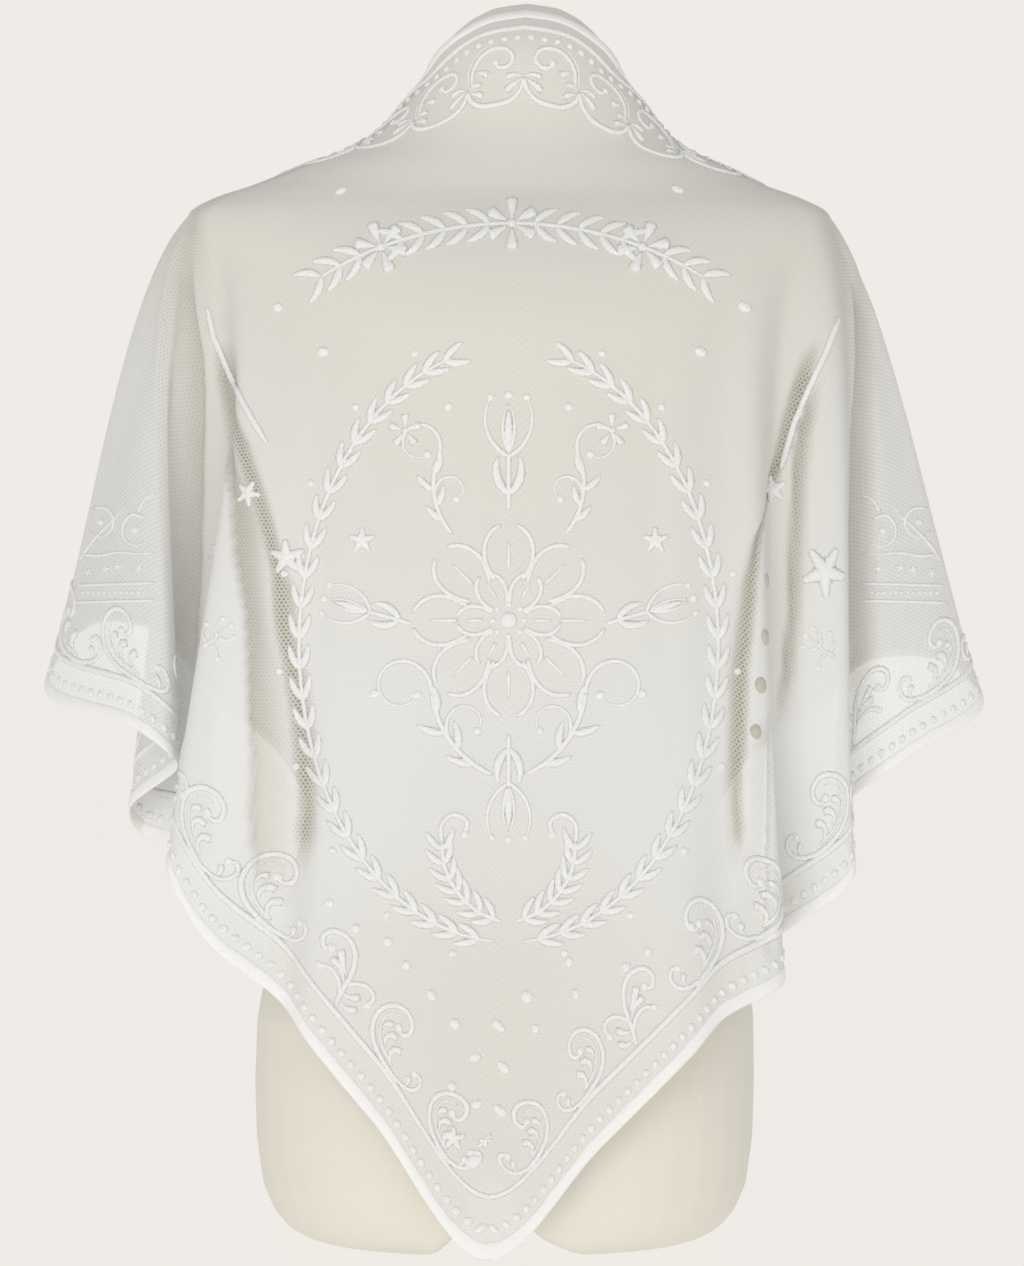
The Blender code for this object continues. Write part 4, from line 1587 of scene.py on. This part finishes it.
@dataclass
class BackField:
    """The garland, the medallion, the wing scrolls and the scattered dots on the wearer's back."""

    middle: tuple[float, float] = (-0.003, 0.372)
    wreath: tuple[float, float] = (0.126, 0.178)
    arch: tuple[float, float, float] = (-0.001, 0.402, 0.224)
    arch_spread: float = 31.0
    arch_steps: int = 18
    wing_line: float = 0.0023

    def oval(self, degrees: float) -> np.ndarray:
        """A place of the medallion's oval, by its angle from the right."""
        return way_at(degrees) * self.wreath

    def garland(self) -> Motif:
        """Draws an arched spray of leaves and blossoms over the shoulder blades.

        Returns:
            The spray, in metres across and above the floor.
        """
        made = Motif()
        x, z, radius = self.arch
        spread = np.linspace(self.arch_spread, -self.arch_spread, 60)
        made.line(np.array([(x, z) + way_at(90 + degrees) * radius for degrees in spread]), 0.0032)
        for k in range(self.arch_steps + 1):
            degrees = 90 + self.arch_spread * (1 - 2 * k / self.arch_steps)
            place = (x, z) + way_at(degrees) * radius
            if k % 6 == 3:
                made.blossom(place, 0.0165, 6, degrees)
            else:
                made.leaves(place, degrees + (90 if degrees >= 90 else -90), 58, 0.018, 0.0060, 0.8)
        return made

    def rosette(self) -> Motif:
        """Draws a round flower of two rings of outlined petals.

        Returns:
            The flower, round its middle.
        """
        made = Motif()
        rings = ((0.0, 8, 0.020, 0.046, 0.0030), (0.5, 6, 0.008, 0.024, 0.0028))
        for shift, count, inner, outer, width in rings:
            for k in range(count):
                turn = (k + shift) * 360 / count + 90
                for side in (-1, 1):
                    start = way_at(turn + side * 150 / count) * inner
                    made.curl(start, turn + side * 34, outer - inner + 0.004, -side * 105, width, 1.5)
                vein = (outer - inner) * 0.5
                made.curl(way_at(turn) * (inner + 0.004), turn, vein, 0, 0.0026, taper=Taper.TAIL)
        made.dot((0, 0), 0.009)
        for k in range(8):
            made.dot(way_at(k * 45) * 0.0075, 0.003)
        return made

    def tulip(self) -> Motif:
        """Draws a bell flower on a short stem, growing upwards from its origin.

        Returns:
            The flower.
        """
        made = Motif()
        made.curl((0, 0), 90, 0.030, 0, 0.0032)
        for side in (-1, 1):
            made.curl((0, 0.028), 90 + side * 62, 0.036, -side * 92, 0.0034, 1.0, Taper.TAIL, 0.004)
            made.curl((0, 0.030), 90 + side * 26, 0.026, -side * 50, 0.0028, taper=Taper.TAIL)
            made.curl((0, 0.008), 90 + side * 50, 0.022, -side * 70, 0.0060, taper=Taper.LEAF)
        made.curl((0, 0.030), 90, 0.022, 0, 0.0060, taper=Taper.LEAF)
        made.dot((0, 0.060), 0.0048)
        return made

    def tendril(self) -> Motif:
        """Draws a branching scroll with leaves, growing to the right from its origin.

        Returns:
            The scroll.
        """
        made = Motif()
        first = made.curl((0, 0), 20, 0.060, 60, 0.0038)
        made.curl(first[-1], 80, 0.080, -330, 0.0036, 1.25, Taper.TAIL, 0.0056)
        made.curl(first[len(first) // 2], 60, 0.046, 250, 0.0032, 1.3, Taper.TAIL, 0.0048)
        for at, lean in ((0.2, -50), (0.4, 50), (0.6, -50), (0.8, 50)):
            place = first[int(at * (len(first) - 1))]
            made.curl(place, 45 + lean, 0.017, -lean * 0.7, 0.0058, taper=Taper.LEAF)
        return made

    def spray(self) -> Motif:
        """Draws a leafy stem that rises to the right and ends in a scroll.

        Returns:
            The stem.
        """
        made = Motif()
        stem = made.path(((0, 0), (14, 6), (26, 17), (34, 32), (36, 48)), 0.0034)
        made.path(((36, 48), (36, 58), (29, 64), (21, 60), (22, 52)), 0.0034, bulb=0.0048)
        for k in range(7):
            place = stem[int((k + 0.6) / 7 * (len(stem) - 1))]
            made.leaves(place, 28 + k * 9, 52, 0.015, 0.0054, 0.7)
        return made

    def medallion(self) -> Motif:
        """Draws an oval wreath round a rosette, bell flowers and scrolling tendrils.

        Returns:
            The medallion, round its middle.
        """
        made = Motif()
        for side in (1, -1):
            for k in range(27):
                degrees = -82 + k * 154 / 26
                place = self.oval(degrees)
                ahead = self.oval(degrees + 2) - place
                heading = math.degrees(math.atan2(ahead[1], ahead[0]))
                branch = Motif()
                branch.leaves(place, heading, 36, 0.0165, 0.0056, 0.8)
                if k % 3 == 1:
                    branch.dot(place + way_at(degrees) * 0.0125, 0.0046)
                made.put(branch, (0, 0), 0, side < 0)
            stem = np.array([self.oval(d) for d in np.linspace(-86, 74, 60)])
            branch = Motif()
            branch.line(stem, 0.0032)
            made.put(branch, (0, 0), 0, side < 0)
            made.put(self.tendril(), (side * 0.010, -0.078), 4 * side, side < 0, 1.05)
            made.put(self.tendril(), (side * 0.034, 0.066), 30 * side, side < 0, 0.80)
            made.put(self.tulip(), (side * 0.058, 0.012), -74 * side, False, 0.92)
            made.put(self.spray(), (side * 0.004, -0.166), 0, side < 0)
            made.blossom((side * 0.062, 0.128), 0.0105, 5, 90)
            made.star((side * 0.088, 0.062), 0.0080)
            made.dot((side * 0.036, 0.142), 0.0052)
            made.dot((side * 0.080, -0.030), 0.0056)
        made.put(self.rosette(), (0, 0.014), 0, False, 1.28)
        made.put(self.tulip(), (0, 0.080), 0, False, 1.15)
        made.put(self.tulip(), (0, -0.054), 180, False, 1.05)
        return made

    def build(self) -> Motif:
        """Draws the middle of the back, as it reads from behind.

        Returns:
            The design, in metres across and above the floor.
        """
        made = Motif()
        made.put(self.garland(), (0, 0), 0)
        made.put(self.medallion(), self.middle, 0)
        for row in SHOULDER_CORDS:
            made.line(np.array(row.places), row.width)
        return made

    def wing(self) -> Motif:
        """Draws the scroll group and the dotted line pair of one wing.

        Returns:
            The group, from a place between its lines.
        """
        made = Motif()
        for low in (-5.2, 5.4):
            made.path([(-24 + low / 5, low - 0.6), (3, low), (29, low + 0.5)], self.wing_line)
        for k in range(12):
            made.dot((-0.018 + 0.0037 * k, 0.0002), self.wing_line)
        for x, y in ((-15, 13), (-3, 14.5), (5, 16), (19, 15)):
            made.star((x / 1000, y / 1000), 0.0032, 5, 40 + 9 * x)
        for places in (
            [(-21, 20), (-14, 30), (-3, 41), (6, 49), (10, 55)],
            [(-12, 53), (-3, 52), (2, 45), (-1, 37), (-9, 34.5), (-14, 39)],
            [(22, 46), (14, 48), (8.5, 42), (9, 34), (16, 29), (24, 31)],
            [(-18, 24), (-8, 23), (6, 25), (18, 24), (28, 24.5)],
            [(18, 50), (22, 57), (29, 61)],
        ):
            made.path(places, self.wing_line * 1.2, Taper.TAIL)
        for x, y in ((-7, 44), (16, 38.5)):
            made.dot((x / 1000, y / 1000), self.wing_line * 1.9)
        return made

    def sprig(self) -> Motif:
        """Draws a forked sprig with a knot on each twig.

        Returns:
            The sprig, round its middle.
        """
        made = Motif()
        for places in (
            [(-9, -4), (-2, 0), (4, 6), (9, 9)],
            [(-6, -2), (-9, 5), (-6, 10)],
            [(0, 2), (0, 9), (4, 13)],
            [(1, 2), (6, 0), (10, 2)],
            [(-4, -2), (0, -6), (1, -11)],
        ):
            made.path(places, self.wing_line * 1.1, Taper.TAIL, bulb=self.wing_line * 1.5)
        return made

    def sides(self) -> Motif:
        """Draws what is stitched on both wings and both side bands, as it reads from behind.

        Returns:
            The design, in metres across and above the floor.
        """
        made = Motif()
        for x, z, flip in WING_PLACES:
            made.put(self.wing(), (x, z), 0, flip)
        for x, z, flip in SPRIG_PLACES:
            made.put(self.sprig(), (x, z), 0, flip)
        return made

    def spots(self, drape: Drape) -> Motif:
        """Draws the scattered dots and stars.

        Args:
            drape: The cloth that they are on.

        Returns:
            The design, in the flat cloth's own metres.
        """
        made = Motif()
        for row in FIELD_DOTS:
            made.dot(drape.flat_at(row.x, row.z), row.width)
        for row in FIELD_STARS:
            made.star(drape.flat_at(row.x, row.z), row.size, 5, row.turn)
        return made

    def eyelets(self, drape: Drape) -> Motif:
        """Draws the ovals in the right side fold, in thread painted dark as shade.

        Args:
            drape: The cloth that they are on.

        Returns:
            The design, in the flat cloth's own metres.
        """
        made = Motif()
        for row in EYELETS:
            made.dot(drape.flat_at(row.x, row.z), row.width, 1.3, 84)
        return made


FieldDot = namedtuple("FieldDot", "x z width")

# Scattered dots, as seen from behind.
FIELD_DOTS = tuple(
    FieldDot(x, z, width)
    for x, z, width in (
        (-0.105, 0.648, 0.0065), (0.100, 0.649, 0.0065), (-0.143, 0.576, 0.0070), (0.140, 0.576, 0.0075),
        (-0.115, 0.548, 0.0070), (0.113, 0.548, 0.0070), (-0.110, 0.217, 0.0060), (-0.094, 0.202, 0.0060),
        (-0.075, 0.194, 0.0060), (-0.064, 0.180, 0.0065), (-0.049, 0.162, 0.0075), (-0.035, 0.145, 0.0070),
        (-0.023, 0.125, 0.0060), (-0.037, 0.108, 0.0060), (-0.022, 0.097, 0.0055), (-0.008, 0.093, 0.0070),
        (-0.024, 0.063, 0.0085), (-0.009, 0.144, 0.0065), (0.008, 0.161, 0.0080), (0.013, 0.142, 0.0060),
        (-0.006, 0.119, 0.0065), (0.033, 0.182, 0.0065), (0.037, 0.163, 0.0060), (0.067, 0.179, 0.0065),
        (0.080, 0.188, 0.0060), (0.106, 0.203, 0.0060),
    )
)

FieldStar = namedtuple("FieldStar", "x z size turn")

# Small stars, as seen from behind.
FIELD_STARS = (
    FieldStar(-0.036, 0.077, 0.0075, 90),
    FieldStar(-0.017, 0.075, 0.0040, 60),
    FieldStar(-0.161, 0.463, 0.0085, 60),
    FieldStar(-0.183, 0.429, 0.0060, 100),
    FieldStar(-0.137, 0.424, 0.0110, 20),
    FieldStar(0.159, 0.466, 0.0085, 40),
    FieldStar(0.190, 0.416, 0.0150, 75),
)

SidePlace = namedtuple("SidePlace", "x z flip")

# Where each wing's scroll group goes, as seen from behind.
WING_PLACES = (SidePlace(-0.2480, 0.4030, False), SidePlace(0.2440, 0.4030, True))

# Where each side band's sprig goes, as seen from behind.
SPRIG_PLACES = (SidePlace(-0.1790, 0.3740, False), SidePlace(0.1870, 0.3680, True))

ShoulderCord = namedtuple("ShoulderCord", "places width")

# Two stitched cords that run from the shoulders into the side folds, as seen from behind.
SHOULDER_CORDS = (
    ShoulderCord(
        ((-0.188, 0.578), (-0.184, 0.560), (-0.174, 0.537), (-0.164, 0.518), (-0.156, 0.504), (-0.149, 0.493)),
        0.0044,
    ),
    ShoulderCord(((0.200, 0.572), (0.191, 0.550), (0.180, 0.527), (0.171, 0.506), (0.163, 0.479)), 0.0044),
)

# Oval eyelets in the right side fold, in thread painted dark as shade, as seen from behind.
EYELETS = (
    FieldDot(0.153, 0.410, 0.0070),
    FieldDot(0.152, 0.376, 0.0076),
    FieldDot(0.149, 0.347, 0.0076),
    FieldDot(0.146, 0.319, 0.0070),
)


@dataclass
class DressForm:
    """The limbless form under the cloth, made smooth from its solid."""

    voxel: float = 0.003
    smoothing: int = 10

    def build(self) -> bpy.types.Object:
        """Builds the form.

        Returns:
            The form, replacing its solid.
        """
        made = bmesh.new()
        made.from_mesh(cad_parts["dress_form"].data)
        bmesh.ops.remove_doubles(made, verts=made.verts[:], dist=0.00001)
        mesh = mesh_of(made, "form_rough")
        rough = show("form_rough", mesh)
        remesh = rough.modifiers.new("even", "REMESH")
        remesh.mode = "VOXEL"
        remesh.voxel_size = self.voxel
        smooth = rough.modifiers.new("smooth", "SMOOTH")
        smooth.iterations = self.smoothing
        graph = bpy.context.evaluated_depsgraph_get()
        finished = bpy.data.meshes.new_from_object(rough.evaluated_get(graph))
        bpy.data.objects.remove(rough)
        bpy.data.meshes.remove(mesh)
        finished.name = "form"
        finished.shade_smooth()
        form = add_piece(finished, FormFinish().make())
        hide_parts("dress_form")
        return form


@dataclass
class Mantilla:
    """The whole worn cloth: its net, edgings, border and embroidery."""

    drape: Drape = field(default_factory=Drape)

    def embroider(self, name: str, motif: Motif, seat: Callable, finish: bpy.types.Material) -> bpy.types.Object:
        """Stitches one design on the cloth."""
        return add_piece(Needle().work(motif, name, seat), finish)

    def build(self) -> None:
        """Builds every piece of the cloth."""
        drape = self.drape
        net = NetPanel(drape).build()
        satin = SatinFinish("satin_edging").make()
        thread = StitchFinish("white_thread").make()
        left, low, right = (-drape.half_width, 0.0), (0.0, -drape.drop), (drape.half_width, 0.0)
        for name, start, end in (
            ("edging_left", left, low),
            ("edging_right", low, right),
            ("edging_long", right, left),
        ):
            band = Edging(drape, f"{name}_band", start, end).build(satin)
            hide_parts(name)
        border = Border(drape)
        cords = self.embroider("border_cords", border.cords(), drape.lay, thread)
        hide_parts("border_cord")
        back = BackField()
        # The eyelets are stitched in thread painted dark: a painted shade.
        dull = StitchFinish("eyelet_shade_thread", dull=(0.56, 0.55, 0.47), bright=(0.64, 0.63, 0.54)).make()
        for name, motif, seat, finish in (
            ("hem_dots", border.dots(), drape.lay, thread),
            ("hem_scrolls", border.scrolls(), drape.lay, thread),
            ("neck_shells", border.shells(), drape.lay, thread),
            ("back_field", back.build(), drape.pin, thread),
            ("field_spots", back.spots(drape), drape.lay, thread),
            ("side_scrolls", back.sides(), drape.pin, thread),
            ("side_eyelets", back.eyelets(drape), drape.lay, dull),
        ):
            self.embroider(name, motif, seat, finish)
        cut = (2 * drape.half_width, drape.drop)
        area = drape.half_width * drape.drop


Lamp = namedtuple("Lamp", "name place aim power")

# The soft lamps on the camera's side, in metres and watts.
LAMPS = (Lamp("key", (-1.0, -3.0, 0.75), (0, 0, 0.36), 35), Lamp("fill", (1.5, -2.8, 0.35), (0, 0, 0.34), 15))


@dataclass
class Studio:
    """The camera, the soft light and the pale ground."""

    eye: tuple[float, float, float] = (-0.001, -3.1, 0.3785)
    lens: float = 175.8
    sensor: float = 36.0
    floor_size: float = 60.0
    room_colour: tuple = (0.95, 0.96, 0.97, 1.0)
    room_low: float = 0.47
    room_high: float = 0.87
    room_turn: tuple[float, float] = (0.35, 0.65)
    lamp_size: float = 2.0
    lamp_colour: tuple = (1.0, 0.985, 0.955)

    def camera(self) -> None:
        """Sets the camera square to the wearer's back."""
        data = bpy.data.cameras.new("camera")
        data.lens = self.lens
        data.sensor_fit = "HORIZONTAL"
        data.sensor_width = self.sensor
        data.clip_start = 0.05
        data.clip_end = 50
        made = show("camera", data)
        made.location = self.eye
        made.rotation_euler = (math.radians(90), 0, 0)
        bpy.context.scene.camera = made

    def ground(self) -> None:
        """Lays the wide flat floor."""
        made = bmesh.new()
        bmesh.ops.create_grid(made, x_segments=1, y_segments=1, size=self.floor_size / 2)
        mesh = mesh_of(made, "ground")
        mesh.materials.append(StageFinish().make())
        show("ground", mesh)

    def lamp(self, lamp: Lamp) -> None:
        """Adds one soft square light."""
        data = bpy.data.lights.new(lamp.name, "AREA")
        data.shape = "SQUARE"
        data.size = self.lamp_size
        data.energy = lamp.power
        data.color = self.lamp_colour
        made = show(lamp.name, data)
        made.location = lamp.place
        way = Vector(lamp.aim) - Vector(lamp.place)
        made.rotation_euler = way.to_track_quat("-Z", "Y").to_euler()

    def light(self) -> None:
        """Sets the room's light, seen as the plain ground colour, and the soft lamps."""
        world = bpy.data.worlds.new("room")
        desk = NodeDesk("room", world)
        ways = desk.node("ShaderNodeTexCoord", {}, {}, "Generated")
        ahead = desk.node("ShaderNodeSeparateXYZ", {}, {0: ways}, "Y")
        spread = {"From Min": self.room_turn[0], "From Max": self.room_turn[1]}
        spread |= {"To Min": self.room_low, "To Max": self.room_high, "Value": ahead}
        desk.feed(Color=self.room_colour, Strength=desk.node("ShaderNodeMapRange", {}, spread))
        plain = desk.node("ShaderNodeBackground", {}, {"Color": (*StageFinish.colour, 1.0)})
        straight = desk.node("ShaderNodeLightPath", {}, {}, "Is Camera Ray")
        given = Shade(desk, desk.shader.outputs[0])
        both = desk.node("ShaderNodeMixShader", {}, {0: straight, 1: given, 2: plain})
        desk.tree.links.new(both.socket, desk.tree.nodes["World Output"].inputs["Surface"])
        bpy.context.scene.world = world
        bpy.context.scene.view_settings.view_transform = "Standard"
        for lamp in LAMPS:
            self.lamp(lamp)

    def build(self) -> None:
        """Builds the whole setting."""
        self.camera()
        self.ground()
        self.light()


def main() -> None:
    """Builds the form, the cloth and the studio."""
    logging.basicConfig(level=logging.INFO, format="%(name)s: %(message)s")
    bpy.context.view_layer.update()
    Studio().build()
    DressForm().build()
    Mantilla().build()


if __name__ == "__main__":
    main()
